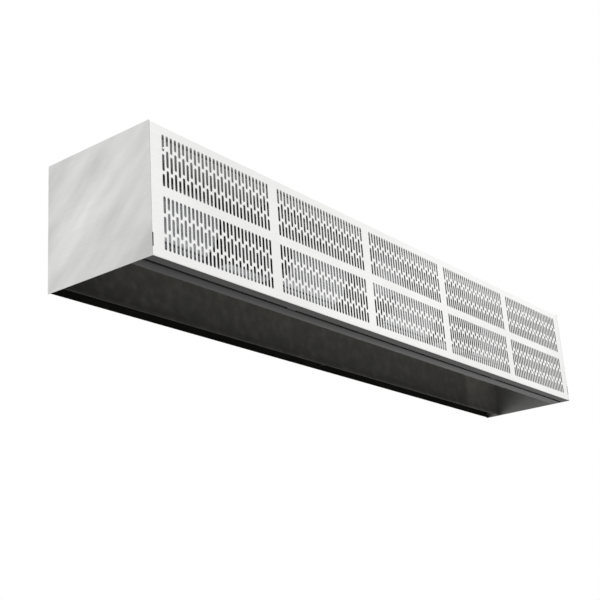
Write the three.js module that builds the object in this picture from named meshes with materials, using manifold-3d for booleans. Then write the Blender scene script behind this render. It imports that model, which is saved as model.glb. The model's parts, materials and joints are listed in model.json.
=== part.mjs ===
// Over-door air curtain with a slotted stainless front, in millimetres, +Z up.
// X runs along the length, the front faces -Y, and the origin is the centre of the wall face.
// Air enters through the front slots and the open underside, and four double-inlet blowers
// press it down through a full-length slot beside the wall.

import * as THREE from 'three';
import { mergeVertices, toCreasedNormals } from 'three/addons/utils/BufferGeometryUtils.js';
import Module from 'manifold-3d';

const wasm = await Module();
wasm.setup();

// ---------------------------------------------------------------- driving dimensions

// casing
const LENGTH = 1524;
const DEPTH = 242;
const HEIGHT = 234;
const SHEET = 1.5;
const FLANGE = 15;
const SEAT = 0.3;

// intake panel
const FIELD_COLUMNS = 5;
const FIELD_ROWS = 2;
const SIDE_BORDER = 27.7;
const EDGE_BORDER = 16;
const UPRIGHT_BAR = 25;
const MIDDLE_BAR = 17;
const SLOT_PITCH = 9.525;
const SLOT_WIDTH = 5.56;
const FACE_SHEET = 0.9;
const PANEL_RETURN = 18;
const NOTCH_WIDTH = 2.5;
const NOTCH_HEIGHT = 23;
const NOTCH_LIFT = 16;
const PANEL_TOP_RETURN = 11;
const HINGE_BACK = 8;
const HINGE_DROP = 6;
const HINGE_PIN_RADIUS = 3;
const HINGE_CLEARANCE = 0.35;
const LUG_THICKNESS = 2;
const LUG_SIZE = 16;
const LUG_MARGIN = 2;
const HINGE_PIN_REACH = 5;
const HINGE_PIN_HEAD = 1.2;
const SWING_CLEARANCE = 0.5;
const END_FRONT_FLANGE = 20;

// underside
const GROOVE = 7;
const RAIL_WIDTH = 22;
const RAIL_UPTURN = 14;
const CLIP_WIDTH = 24;
const CLIP_SHEET = 0.8;
const CLIP_REACH = 6;
const REAR_LIP = 6;

// discharge slot
const SLOT_FRONT = 37;
const NOZZLE_FUNNEL = 13;
const NOZZLE_TAB = 12;
const NOZZLE_HEM = 8;
const VANE_CHORD = 26;
const VANE_THICKNESS = 4;
const VANE_LIFT = 14;
const VANE_PIN_RADIUS = 2.5;
const VANE_PIN_CLEARANCE = 0.35;
const VANE_END_CLEARANCE = 1.2;
const VANE_COLLAR = 1.2;
const VANE_COLLAR_LENGTH = 8;
const VANE_BRACKET = 3;
const VANE_BRACKET_GAP = 1;
const VANE_BRACKET_HEIGHT = 30;

// blowers
const THIN = 1.2;
const SET_SHIFT = 4;
const BLOWER_OFFSET = 200;
const BLOWER_WIDTH = 180;
const WHEEL_RADIUS = 51;
const WHEEL_SIDE_GAP = 7;
const BLADE_COUNT = 10;
const SHAFT_SIDES = 10;
const MOTOR_SIDES = 14;
const BLADE_DEPTH = 10;
const BLADE_SHEET = 1.4;
const BLADE_LEAN = 0.42;
const WHEEL_RING = 3;
const WHEEL_RIM = 2;
const WHEEL_DISC = 2;
const HUB_RADIUS = 14;
const HUB_LENGTH = 26;
const SHAFT_RADIUS = 6.35;
const SHAFT_CLEARANCE = 0.4;
const SHAFT_OVERHANG = 14;
const SCROLL_START = 55;
const SCROLL_GROWTH = 28;
const TONGUE_ANGLE = THREE.MathUtils.degToRad(25);
const INLET_RADIUS = 38;
const INLET_LIP = 7;
const INLET_FLANGE = 6;
const INLET_DEPTH = 6;
const CASE_CLEARANCE = 1.3;
const HOUSING_FOOT = 30;
const DECK_FRONT = 102;
const DECK_TURN = 12;
const DECK_OPENING_MARGIN = 4;

// motors
const MOTOR_RADIUS = 42;
const MOTOR_LENGTH = 110;
const BELL_LENGTH = 18;
const BOSS_RADIUS = 19;
const BOSS_LENGTH = 12;
const RING_THICKNESS = 6;
const CRADLE_SHEET = 3;
const CRADLE_DEPTH = 80;
const CRADLE_RISE = 6;
const CRADLE_CLEARANCE = 2;

// electrical box
const BOX_WIDTH = 96;
const BOX_DEPTH = 74;
const BOX_HEIGHT = 92;
const BOX_FRONT = 200;
const BOX_SHEET = 1.2;
const TERMINAL = { width: 62, depth: 22, height: 18 };
const CAPACITOR_RADIUS = 15;
const CAPACITOR_LENGTH = 46;
const CAPACITOR_SPACING = 40;
const CAPACITOR_TAB = { width: 1, reach: 8, height: 6, offset: 5 };
const COVER_LIP = 9;
const TERMINAL_CELLS = 6;
const TERMINAL_LIFT = 6;
const TERMINAL_CELL_DEPTH = 8;
const CONDUIT_RADIUS = 5;
const CONDUIT_STANDOFF = 26;
const CONDUIT_BEND = 26;
const BUSHING_RADIUS = 11;
const BUSHING_FLANGE = 4;
const BUSHING_BORE = 8;
const KEYHOLE = { entry: 8, neck: 4, rise: 18, drop: 50, shares: [-0.38, -0.13, 0.13, 0.38] };
const HANGER_HOLE_RADIUS = 5.5;
const HANGER_INSET = { x: 90, y: 50 };

// ---------------------------------------------------------------- derived places

const TOP = HEIGHT / 2;
const BOTTOM = -HEIGHT / 2;
const FRONT = -DEPTH;
const END = LENGTH / 2;
const END_INNER = END - SHEET;
const BETWEEN_ENDS = END_INNER - SEAT;
const REAR_INNER = -SHEET;
const SET_OFFSET = LENGTH / 4 + SET_SHIFT;
const WHEEL_WIDTH = BLOWER_WIDTH - 2 * WHEEL_SIDE_GAP;

const SCROLL_SPAN = 1.5 * Math.PI;
const scrollRadius = (angle) => SCROLL_START + SCROLL_GROWTH * (angle / SCROLL_SPAN);
const AXIS_Y = REAR_INNER - CASE_CLEARANCE - THIN - scrollRadius(SCROLL_SPAN);
const AXIS_Z = TOP - SHEET - CASE_CLEARANCE - THIN - scrollRadius(1.05 * Math.PI);
const OUTLET_Z = AXIS_Z - SCROLL_START - THIN;
const TONGUE_Y = AXIS_Y + scrollRadius(0) * Math.sin(TONGUE_ANGLE);
const DECK_TOP = OUTLET_Z - SEAT;
const DECK_BOTTOM = DECK_TOP - THIN;
const NOZZLE_Y = -SLOT_FRONT;

const HINGE_Y = FRONT + HINGE_BACK;
const HINGE_Z = TOP - HINGE_DROP;
const LUG_BACK = HINGE_PIN_RADIUS + LUG_MARGIN;
const HINGE_SWEEP = SWING_CLEARANCE + Math.hypot(
  Math.max(PANEL_TOP_RETURN - HINGE_BACK, LUG_BACK), HINGE_DROP);
const TOP_PANEL_FRONT = HINGE_Y + HINGE_SWEEP;
const RAIL_FRONT = FRONT + PANEL_RETURN + GROOVE;
const RAIL_REAR = RAIL_FRONT + RAIL_WIDTH;

const VANE_Y = (NOZZLE_Y + REAR_INNER) / 2;
const VANE_Z = BOTTOM + VANE_LIFT + VANE_CHORD / 2;
const CENTRE_BRACKET = VANE_BRACKET + VANE_BRACKET_GAP / 2;
const BOX_TOP = TOP - SHEET - SEAT;
const BOX_BOTTOM = BOX_TOP - BOX_HEIGHT;
const BOX_BACK = BOX_DEPTH - BOX_FRONT;
const BUSHING_Y = (BOX_BACK - BOX_FRONT) / 2;
const CONDUIT_Z = TOP - SHEET - SEAT - CONDUIT_RADIUS;
const CONDUIT_Y = AXIS_Y - scrollRadius(Math.PI / 2) - CONDUIT_STANDOFF;
const BOX_CONDUIT_Z = CONDUIT_Z - CONDUIT_RADIUS;

// ---------------------------------------------------------------- finishes

const finish = (color, roughness, metalness) =>
  new THREE.MeshStandardMaterial({ color, roughness, metalness });
const stainless = finish(0xc9cac7, 0.32, 1);
const polished = finish(0xe6e8e6, 0.24, 1);
const galvanised = finish(0xa6aaab, 0.45, 1);
const darkSteel = finish(0x36373a, 0.6, 0.3);
const motorGrey = finish(0x4a4f52, 0.5, 0.2);
const rubber = finish(0x1b1b1b, 0.9, 0);
const shaftSteel = finish(0x9a9b9c, 0.3, 1);
const castPlastic = finish(0xd8d6cc, 0.55, 0);
const capacitorAluminium = finish(0xb9bcc0, 0.35, 1);
const conduitSleeve = finish(0x2b2c2e, 0.7, 0);

// ---------------------------------------------------------------- solids

/** A closed geometry as a solid. */
function solid(geometry) {
  const bare = geometry.index ? geometry : geometry.clone();
  bare.deleteAttribute('normal');
  bare.deleteAttribute('uv');
  const merged = mergeVertices(bare, 1e-4);
  return new wasm.Manifold(new wasm.Mesh({
    numProp: 3,
    vertProperties: new Float32Array(merged.attributes.position.array),
    triVerts: new Uint32Array(merged.index.array),
  }));
}

const fuse = (...solids) => solids.reduce((whole, next) => whole.add(next));
const cut = (body, ...tools) => tools.reduce((left, tool) => left.subtract(tool), body);

/** A solid as a named mesh. */
function piece(name, body, material) {
  const { vertProperties, triVerts } = body.getMesh();
  const geometry = new THREE.BufferGeometry();
  geometry.setAttribute('position', new THREE.BufferAttribute(vertProperties, 3));
  geometry.setIndex(new THREE.BufferAttribute(triVerts, 1));
  const mesh = new THREE.Mesh(toCreasedNormals(geometry, 0.6), material);
  mesh.name = name;
  return mesh;
}

/** A box between two corners. */
function block([x0, y0, z0], [x1, y1, z1]) {
  const box = new THREE.BoxGeometry(x1 - x0, y1 - y0, z1 - z0);
  box.translate((x0 + x1) / 2, (y0 + y1) / 2, (z0 + z1) / 2);
  return solid(box);
}

const shapeOf = (points) => new THREE.Shape(points.map(([a, b]) => new THREE.Vector2(a, b)));
const extrude = (shape, depth) =>
  new THREE.ExtrudeGeometry(shape, { depth, bevelEnabled: false, curveSegments: 3 });

/** A (y, z) outline drawn out along X. */
function alongX(shape, x0, x1) {
  const turn = new THREE.Matrix4().set(0, 0, 1, x0, 1, 0, 0, 0, 0, 1, 0, 0, 0, 0, 0, 1);
  return solid(extrude(shape, x1 - x0).applyMatrix4(turn));
}

/** An (x, z) outline drawn out along -Y from y1 to y0. */
function alongY(shape, y0, y1) {
  const turn = new THREE.Matrix4().set(1, 0, 0, 0, 0, 0, -1, y1, 0, 1, 0, 0, 0, 0, 0, 1);
  return solid(extrude(shape, y1 - y0).applyMatrix4(turn));
}

/** An (x, y) outline drawn out along Z. */
const alongZ = (shape, z0, z1) => solid(extrude(shape, z1 - z0).translate(0, 0, z0));

/** A round bar along X, Y or Z between two places on its own axis. */
function bar(axis, radius, from, to, [a, b], sides = 20) {
  const rod = new THREE.CylinderGeometry(radius, radius, to - from, sides);
  const middle = (from + to) / 2;
  if (axis === 'x') rod.rotateZ(-Math.PI / 2).translate(middle, a, b);
  if (axis === 'y') rod.translate(a, middle, b);
  if (axis === 'z') rod.rotateX(Math.PI / 2).translate(a, b, middle);
  return solid(rod);
}

/** The outline of a sheet bent along a path, lying on the path's left side. */
function foldedSheet(path, thickness) {
  const points = path.map(([a, b]) => new THREE.Vector2(a, b));
  const normals = points.slice(1).map((end, i) => {
    const along = end.clone().sub(points[i]).normalize();
    return new THREE.Vector2(-along.y, along.x);
  });
  const offset = points.map((point, i) => {
    const before = normals[Math.max(i - 1, 0)];
    const after = normals[Math.min(i, normals.length - 1)];
    const mitre = before.clone().add(after).normalize();
    return point.clone().addScaledVector(mitre, thickness / mitre.dot(before));
  });
  return new THREE.Shape([...points, ...offset.reverse()]);
}

// ---------------------------------------------------------------- casing

/** An end panel as a shallow pan, built on the +X end and mirrored for the other. */
function endPanel(name, side) {
  const inner = END_INNER;
  const behindFace = FRONT + SHEET + SEAT;
  const face = block([inner, FRONT, BOTTOM], [END, 0, TOP]);
  const front = block(
    [inner - END_FRONT_FLANGE, behindFace, BOTTOM + 2 * SHEET],
    [inner + SHEET / 2, behindFace + SHEET, HINGE_Z - HINGE_PIN_RADIUS - 1],
  );
  const underTop = TOP - SHEET - SEAT;
  const top = block(
    [inner - FLANGE, TOP_PANEL_FRONT, underTop - SHEET],
    [inner + SHEET / 2, REAR_INNER - SEAT, underTop],
  );
  const rear = block(
    [inner - FLANGE, REAR_INNER - SEAT - SHEET, DECK_TOP + SEAT + SHEET + FLANGE],
    [inner + SHEET / 2, REAR_INNER - SEAT, underTop],
  );
  const body = fuse(face, front, top, rear);
  return piece(name, side > 0 ? body : body.mirror([1, 0, 0]), stainless);
}

/** The top sheet, with its hanging holes, its cable hole and a turned-down front edge. */
function topPanel() {
  const path = [
    [TOP_PANEL_FRONT, TOP - FLANGE], [TOP_PANEL_FRONT, TOP], [0, TOP],
  ].reverse();
  let body = alongX(foldedSheet(path, SHEET), -BETWEEN_ENDS, BETWEEN_ENDS);
  const cornerX = BETWEEN_ENDS - END_FRONT_FLANGE - SEAT;
  for (const side of [-1, 1]) {
    const [x0, x1] = [side * cornerX, side * (END + SHEET)].sort((a, b) => a - b);
    body = cut(body, block([x0, FRONT, TOP - 2 * FLANGE], [x1, AXIS_Y, TOP - SHEET]));
    for (const y of [-HANGER_INSET.y, FRONT + HANGER_INSET.y]) {
      const x = side * (END - HANGER_INSET.x);
      body = cut(body, bar('z', HANGER_HOLE_RADIUS, TOP - 3 * SHEET, TOP + SHEET, [x, y], 8));
    }
  }
  const hole = BUSHING_RADIUS + SEAT;
  return piece('top_panel', cut(body,
    bar('z', hole, TOP - 3 * SHEET, TOP + SHEET, [0, BUSHING_Y], 12)), stainless);
}

/** The wall sheet, with keyholes to hang it by and a hem along its lower edge. */
function rearPanel() {
  const path = [[-REAR_LIP, BOTTOM], [0, BOTTOM], [0, TOP - SHEET - SEAT]];
  let body = alongX(foldedSheet(path, SHEET), -BETWEEN_ENDS, BETWEEN_ENDS);
  for (const share of KEYHOLE.shares) {
    body = cut(body, alongY(keyhole(share * LENGTH, TOP - KEYHOLE.drop), -3 * SHEET, SHEET));
  }
  return piece('rear_panel', body, galvanised);
}

/** A keyhole: a round entry below a narrow slot. */
function keyhole(x, z) {
  const { entry, neck, rise } = KEYHOLE;
  const start = Math.acos(neck / entry);
  const shape = new THREE.Shape();
  shape.absarc(x, z, entry, Math.PI - start, start, false);
  shape.lineTo(x + neck, z + rise);
  shape.absarc(x, z + rise, neck, 0, Math.PI, false);
  return shape;
}

/** The rail across the underside behind the intake panel's lower edge. */
function bottomRail() {
  const path = [
    [RAIL_FRONT, BOTTOM + RAIL_UPTURN], [RAIL_FRONT, BOTTOM],
    [RAIL_REAR, BOTTOM], [RAIL_REAR, BOTTOM + RAIL_UPTURN],
  ];
  return piece('bottom_rail',
    alongX(foldedSheet(path, SHEET), -BETWEEN_ENDS, BETWEEN_ENDS), stainless);
}

// ---------------------------------------------------------------- intake panel

/** The outline of one slot in the (x, z) plane. */
function slotShape(x, z0, z1) {
  const half = SLOT_WIDTH / 2;
  return shapeOf([[x - half, z0], [x + half, z0], [x + half, z1], [x - half, z1]]);
}

/** The slotted face with its notched corners. */
function intakeFace() {
  const notchZ = BOTTOM + NOTCH_LIFT;
  const notchTop = notchZ + NOTCH_HEIGHT;
  const edge = BETWEEN_ENDS;
  const notch = edge - NOTCH_WIDTH;
  const outline = shapeOf([
    [-edge, BOTTOM], [edge, BOTTOM], [edge, notchZ], [notch, notchZ],
    [notch, notchTop], [edge, notchTop], [edge, TOP], [-edge, TOP],
    [-edge, notchTop], [-notch, notchTop], [-notch, notchZ], [-edge, notchZ],
  ]);
  const bars = (FIELD_COLUMNS - 1) * UPRIGHT_BAR;
  const fieldWidth = (LENGTH - 2 * SIDE_BORDER - bars) / FIELD_COLUMNS;
  const rails = (FIELD_ROWS - 1) * MIDDLE_BAR;
  const fieldHeight = (HEIGHT - 2 * EDGE_BORDER - rails) / FIELD_ROWS;
  const slots = Math.floor((fieldWidth - SLOT_WIDTH) / SLOT_PITCH) + 1;
  const firstSlot = (fieldWidth - (slots - 1) * SLOT_PITCH) / 2;
  const openings = [];
  for (let column = 0; column < FIELD_COLUMNS; column += 1) {
    const fieldX = -END + SIDE_BORDER + column * (fieldWidth + UPRIGHT_BAR);
    for (let row = 0; row < FIELD_ROWS; row += 1) {
      const fieldZ = BOTTOM + EDGE_BORDER + row * (fieldHeight + MIDDLE_BAR);
      for (let slot = 0; slot < slots; slot += 1) {
        const x = fieldX + firstSlot + slot * SLOT_PITCH;
        openings.push(slotShape(x, fieldZ, fieldZ + fieldHeight));
      }
    }
  }
  return cut(alongY(outline, FRONT, FRONT + FACE_SHEET),
    alongY(openings, FRONT - FACE_SHEET, FRONT + 2 * FACE_SHEET));
}

/** A lug behind the face that turns on a hinge pin. */
function hingeLug(side) {
  const outer = side * (END_INNER - END_FRONT_FLANGE - 2 * SEAT);
  const inner = outer - side * LUG_THICKNESS;
  const [x0, x1] = [outer, inner].sort((a, b) => a - b);
  const lug = block(
    [x0, FRONT + FACE_SHEET / 2, HINGE_Z - LUG_SIZE + HINGE_DROP],
    [x1, HINGE_Y + LUG_BACK, TOP - FACE_SHEET / 2],
  );
  const hole = bar('x', HINGE_PIN_RADIUS + HINGE_CLEARANCE, x0 - 1, x1 + 1, [HINGE_Y, HINGE_Z], 10);
  return cut(lug, hole);
}

/** The hinged front: slotted face, upper and lower returns and two lugs. */
function intakePanel() {
  const lower = block([-BETWEEN_ENDS, FRONT + FACE_SHEET / 2, BOTTOM],
    [BETWEEN_ENDS, FRONT + PANEL_RETURN, BOTTOM + FACE_SHEET]);
  const upper = block([-BETWEEN_ENDS, FRONT + FACE_SHEET / 2, TOP - FACE_SHEET],
    [BETWEEN_ENDS, FRONT + PANEL_TOP_RETURN, TOP]);
  return piece('intake_panel',
    fuse(intakeFace(), lower, upper, hingeLug(-1), hingeLug(1)), polished);
}

/** A pin on the end panel's inner face that carries a lug. */
function hingePin(name, side) {
  const lugInner = END_INNER - END_FRONT_FLANGE - 2 * SEAT - LUG_THICKNESS;
  const base = END_INNER - SEAT;
  const rod = bar('x', HINGE_PIN_RADIUS, lugInner - HINGE_PIN_REACH, base, [HINGE_Y, HINGE_Z], 10);
  const head = bar('x', HINGE_PIN_RADIUS + HINGE_PIN_HEAD, base - HINGE_PIN_RADIUS, base,
    [HINGE_Y, HINGE_Z], 10);
  const body = fuse(rod, head);
  return piece(name, side > 0 ? body : body.mirror([1, 0, 0]), shaftSteel);
}

/** A spring clip on the bottom rail whose tongue lies over the panel's lower return. */
function panelClip(name, x) {
  const under = BOTTOM + FACE_SHEET + SEAT;
  const path = [
    [FRONT + PANEL_RETURN - CLIP_REACH, under + CLIP_SHEET * 3],
    [FRONT + PANEL_RETURN - CLIP_REACH + 2, under],
    [RAIL_FRONT - SEAT - CLIP_SHEET, under],
    [RAIL_FRONT - SEAT - CLIP_SHEET, BOTTOM + RAIL_UPTURN + SEAT],
    [RAIL_FRONT + SHEET + SEAT, BOTTOM + RAIL_UPTURN + SEAT],
    [RAIL_FRONT + SHEET + SEAT, BOTTOM + RAIL_UPTURN / 2],
  ];
  const clip = alongX(foldedSheet(path, CLIP_SHEET), x - CLIP_WIDTH / 2, x + CLIP_WIDTH / 2);
  return piece(name, clip, shaftSteel);
}

// ---------------------------------------------------------------- deck and discharge slot

/** The deck that carries blowers and motors, with an outlet opening under each blower. */
function blowerDeck() {
  const rear = REAR_INNER - SEAT - THIN;
  const path = [
    [-DECK_FRONT, DECK_BOTTOM - DECK_TURN], [-DECK_FRONT, DECK_BOTTOM],
    [rear, DECK_BOTTOM], [rear, DECK_BOTTOM - DECK_TURN],
  ];
  let body = alongX(foldedSheet(path, THIN), -BETWEEN_ENDS, BETWEEN_ENDS);
  const half = BLOWER_WIDTH / 2 - DECK_OPENING_MARGIN;
  for (const x of blowerPlaces()) {
    body = cut(body, block([x - half, TONGUE_Y + DECK_OPENING_MARGIN, DECK_BOTTOM - 1],
      [x + half, rear - DECK_OPENING_MARGIN, DECK_TOP + 1]));
  }
  return piece('blower_deck', body, galvanised);
}

const blowerPlaces = () => [-1, 1].flatMap((set) =>
  [-1, 1].map((side) => set * SET_OFFSET + side * BLOWER_OFFSET));

/** The upright wall of the discharge slot, flared to the deck at its top. */
function nozzlePlate() {
  const deck = DECK_BOTTOM - SEAT;
  const flareY = TONGUE_Y + DECK_OPENING_MARGIN;
  const wall = foldedSheet([
    [NOZZLE_Y, BOTTOM], [NOZZLE_Y, deck - NOZZLE_FUNNEL],
    [flareY, deck], [flareY - NOZZLE_TAB, deck],
  ], SHEET);
  const hem = shapeOf([
    [NOZZLE_Y - 2 * SHEET, BOTTOM], [NOZZLE_Y - SHEET / 2, BOTTOM],
    [NOZZLE_Y - SHEET / 2, BOTTOM + NOZZLE_HEM], [NOZZLE_Y - 2 * SHEET, BOTTOM + NOZZLE_HEM],
  ]);
  const body = fuse(alongX(wall, -BETWEEN_ENDS, BETWEEN_ENDS),
    alongX(hem, -BETWEEN_ENDS, BETWEEN_ENDS));
  return piece('nozzle_plate', body, darkSteel);
}

/** A bracket plate across the slot with a hole for each vane's pin. */
function vaneBracket(name, x0, x1) {
  const body = block([x0, NOZZLE_Y + SEAT, VANE_Z - VANE_BRACKET_HEIGHT / 2],
    [x1, REAR_INNER - SEAT, VANE_Z + VANE_BRACKET_HEIGHT / 2]);
  const hole = bar('x', VANE_PIN_RADIUS + VANE_PIN_CLEARANCE, x0 - 1, x1 + 1,
    [VANE_Y, VANE_Z], 10);
  return piece(name, cut(body, hole), galvanised);
}

/** A streamlined vane with a pin at each end, turning about its own middle. */
function vane(name, side) {
  const inner = CENTRE_BRACKET + VANE_END_CLEARANCE;
  const outer = BETWEEN_ENDS - SEAT - VANE_BRACKET - VANE_END_CLEARANCE;
  const steps = 4;
  const upper = [];
  for (let i = 0; i <= steps; i += 1) {
    const along = i / steps;
    const thick = VANE_THICKNESS * Math.sqrt(along) * (1 - along) * 1.3;
    upper.push([thick, VANE_CHORD * (0.5 - along)]);
  }
  const lower = upper.slice(1, -1).map(([y, z]) => [-y, z]).reverse();
  const body = alongX(shapeOf([...upper, ...lower].reverse()), inner, outer);
  const boss = VANE_THICKNESS / 2 + VANE_COLLAR;
  const pinReach = VANE_END_CLEARANCE + VANE_BRACKET;
  const pins = [[inner, -1], [outer, 1]].map(([x, way]) => {
    const [x0, x1] = [x - way * 10, x + way * pinReach].sort((a, b) => a - b);
    return bar('x', VANE_PIN_RADIUS, x0, x1, [0, 0], 8);
  });
  const collar = bar('x', boss, inner, inner + VANE_COLLAR_LENGTH, [0, 0], 8);
  const farCollar = bar('x', boss, outer - VANE_COLLAR_LENGTH, outer, [0, 0], 8);
  const whole = fuse(body, collar, farCollar, ...pins);
  const mesh = piece(name, side > 0 ? whole : whole.mirror([1, 0, 0]), darkSteel);
  mesh.position.set(0, VANE_Y, VANE_Z);
  return mesh;
}

// ---------------------------------------------------------------- blowers

/** The scroll's outline about the shaft, grown outwards by a distance. */
function scrollShape(grow) {
  const shape = new THREE.Shape();
  const steps = 12;
  const outletZ = OUTLET_Z - AXIS_Z;
  const rear = scrollRadius(SCROLL_SPAN) + grow;
  const tongue = scrollRadius(0);
  const tongueY = tongue * Math.sin(TONGUE_ANGLE) - grow;
  shape.moveTo(rear, grow > 0 ? outletZ : outletZ - THIN);
  for (let i = steps; i >= 0; i -= 1) {
    const turn = SCROLL_SPAN * (i / steps);
    const radius = scrollRadius(turn) + grow;
    shape.lineTo(-radius * Math.sin(turn), -radius * Math.cos(turn));
  }
  shape.lineTo(tongueY, -(tongue + grow) * Math.cos(TONGUE_ANGLE));
  shape.lineTo(tongueY, grow > 0 ? outletZ : outletZ - THIN);
  return shape;
}

/** A scroll housing of sheet, open below and at both inlets. */
function blowerHousing(name) {
  const half = BLOWER_WIDTH / 2;
  const outer = alongX(scrollShape(THIN), -half - THIN, half + THIN);
  const inner = alongX(scrollShape(0), -half, half);
  const inlet = bar('x', INLET_RADIUS + INLET_LIP + SEAT, -half - 2 * THIN, half + 2 * THIN,
    [0, 0], 12);
  const foot = block([-half - THIN, -HOUSING_FOOT, OUTLET_Z - AXIS_Z],
    [half + THIN, SCROLL_START * Math.sin(TONGUE_ANGLE), OUTLET_Z - AXIS_Z + THIN]);
  return piece(name, cut(fuse(cut(outer, inner), foot), inlet), galvanised);
}

/** A bell-mouthed ring that leads air into the wheel. */
function inletRing(name) {
  const mouth = INLET_RADIUS + INLET_LIP;
  const points = [
    [mouth, 0], [mouth + INLET_FLANGE, 0], [mouth + INLET_FLANGE, THIN],
    [mouth - 1, THIN], [INLET_RADIUS, -INLET_DEPTH], [INLET_RADIUS + THIN, -INLET_DEPTH],
  ].map(([r, x]) => new THREE.Vector2(r, x));
  points.push(points[0].clone());
  const ring = new THREE.LatheGeometry(points, 12).rotateZ(-Math.PI / 2);
  return piece(name, solid(ring), galvanised);
}

/** A squirrel-cage wheel: blades between two rings, a centre disc and a hub. */
function wheel(name) {
  const half = WHEEL_WIDTH / 2;
  const innerRadius = WHEEL_RADIUS - BLADE_DEPTH;
  const ring = (x0, x1) => cut(
    bar('x', WHEEL_RADIUS + WHEEL_RIM, x0, x1, [0, 0], BLADE_COUNT),
    bar('x', innerRadius, x0 - 1, x1 + 1, [0, 0], BLADE_COUNT),
  );
  const hub = bar('x', HUB_RADIUS, -HUB_LENGTH / 2, HUB_LENGTH / 2, [0, 0], SHAFT_SIDES);
  const disc = bar('x', innerRadius + 1.5, -WHEEL_DISC / 2, WHEEL_DISC / 2, [0, 0], BLADE_COUNT);
  const blades = [];
  for (let i = 0; i < BLADE_COUNT; i += 1) {
    const turn = Math.PI / 2 + (2 * Math.PI * i) / BLADE_COUNT;
    blades.push(alongX(bladeShape(turn), -half + 0.5, half - 0.5));
  }
  const bore = bar('x', SHAFT_RADIUS + SHAFT_CLEARANCE, -HUB_LENGTH, HUB_LENGTH, [0, 0],
    SHAFT_SIDES);
  const body = fuse(disc, hub, ring(-half, -half + WHEEL_RING), ring(half - WHEEL_RING, half),
    ...blades);
  return piece(name, cut(body, bore), galvanised);
}

/** One blade's section: a thin plate leaning forward at its tip. */
function bladeShape(turn) {
  const inner = WHEEL_RADIUS - BLADE_DEPTH + 0.4;
  const outer = WHEEL_RADIUS;
  const half = BLADE_SHEET / 2;
  const polar = (radius, angle) => [radius * Math.cos(angle), radius * Math.sin(angle)];
  const lean = (BLADE_LEAN * BLADE_DEPTH) / outer;
  return shapeOf([
    polar(inner, turn - half / inner), polar(outer, turn - lean - half / outer),
    polar(outer, turn - lean + half / outer), polar(inner, turn + half / inner),
  ]);
}

/** The shaft through a motor and its two wheels. */
function shaft(name) {
  const reach = BLOWER_OFFSET + HUB_LENGTH / 2 + SHAFT_OVERHANG;
  return piece(name, bar('x', SHAFT_RADIUS, -reach, reach, [0, 0], SHAFT_SIDES), shaftSteel);
}

// ---------------------------------------------------------------- motors

/** A double-shaft motor: shell, end bells and bosses, bored for its shaft. */
function motor(name) {
  const half = MOTOR_LENGTH / 2;
  const profile = [
    [0, -half - BOSS_LENGTH], [BOSS_RADIUS, -half - BOSS_LENGTH], [BOSS_RADIUS, -half],
    [MOTOR_RADIUS - 10, -half], [MOTOR_RADIUS, -half + BELL_LENGTH],
    [MOTOR_RADIUS, half - BELL_LENGTH], [MOTOR_RADIUS - 10, half],
    [BOSS_RADIUS, half], [BOSS_RADIUS, half + BOSS_LENGTH], [0, half + BOSS_LENGTH],
  ].map(([r, x]) => new THREE.Vector2(r, x));
  const body = solid(new THREE.LatheGeometry(profile, MOTOR_SIDES).rotateZ(-Math.PI / 2));
  const bore = bar('x', SHAFT_RADIUS + SHAFT_CLEARANCE, -MOTOR_LENGTH, MOTOR_LENGTH, [0, 0],
    SHAFT_SIDES);
  return piece(name, cut(body, bore), motorGrey);
}

/** A rubber ring on a motor boss. */
function motorRing(name) {
  const length = BOSS_LENGTH - 3;
  const body = cut(
    bar('x', BOSS_RADIUS + SEAT + RING_THICKNESS, -length / 2, length / 2, [0, 0], MOTOR_SIDES),
    bar('x', BOSS_RADIUS + SEAT, -length, length, [0, 0], MOTOR_SIDES),
  );
  return piece(name, body, rubber);
}

/** A cradle on the deck whose two forks hold the rubber rings. */
function motorCradle(name) {
  const seat = DECK_TOP - AXIS_Z + SEAT;
  const ringRadius = BOSS_RADIUS + SEAT + RING_THICKNESS + SEAT;
  const forkX = MOTOR_LENGTH / 2 + BOSS_LENGTH / 2;
  const base = block([-forkX - CRADLE_SHEET / 2, -CRADLE_DEPTH / 2, seat],
    [forkX + CRADLE_SHEET / 2, CRADLE_DEPTH / 2, seat + CRADLE_SHEET]);
  let body = base;
  for (const way of [-1, 1]) {
    const x = way * forkX;
    const fork = block([x - CRADLE_SHEET / 2, -CRADLE_DEPTH / 2, seat],
      [x + CRADLE_SHEET / 2, CRADLE_DEPTH / 2, CRADLE_RISE]);
    body = fuse(body, fork);
  }
  const outside = forkX + CRADLE_SHEET;
  const inside = forkX - CRADLE_SHEET;
  const notch = bar('x', ringRadius, -outside, outside, [0, 0], MOTOR_SIDES);
  const shell = bar('x', MOTOR_RADIUS + CRADLE_CLEARANCE, -inside, inside, [0, 0], MOTOR_SIDES);
  const throat = block([-2 * forkX, -ringRadius, 0], [2 * forkX, ringRadius, CRADLE_RISE + 1]);
  return piece(name, cut(body, notch, throat, shell), galvanised);
}

// ---------------------------------------------------------------- electrical parts

/** The box under the top panel, open at the front and pierced for both conduits. */
function electricalBox() {
  const half = BOX_WIDTH / 2;
  const front = -BOX_FRONT;
  const outer = block([-half, front, BOX_BOTTOM], [half, BOX_BACK, BOX_TOP]);
  const inner = block([-half + BOX_SHEET, front - 1, BOX_BOTTOM + BOX_SHEET],
    [half - BOX_SHEET, BOX_BACK - BOX_SHEET, BOX_TOP - BOX_SHEET]);
  const conduitHoles = bar('x', CONDUIT_RADIUS + SEAT, -BOX_WIDTH, BOX_WIDTH,
    [CONDUIT_Y, BOX_CONDUIT_Z], 12);
  const entry = bar('z', BUSHING_RADIUS + SEAT, BOX_TOP - 2 * BOX_SHEET, BOX_TOP + 1,
    [0, BUSHING_Y], 12);
  return piece('electrical_box', cut(outer, inner, conduitHoles, entry), galvanised);
}

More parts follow.
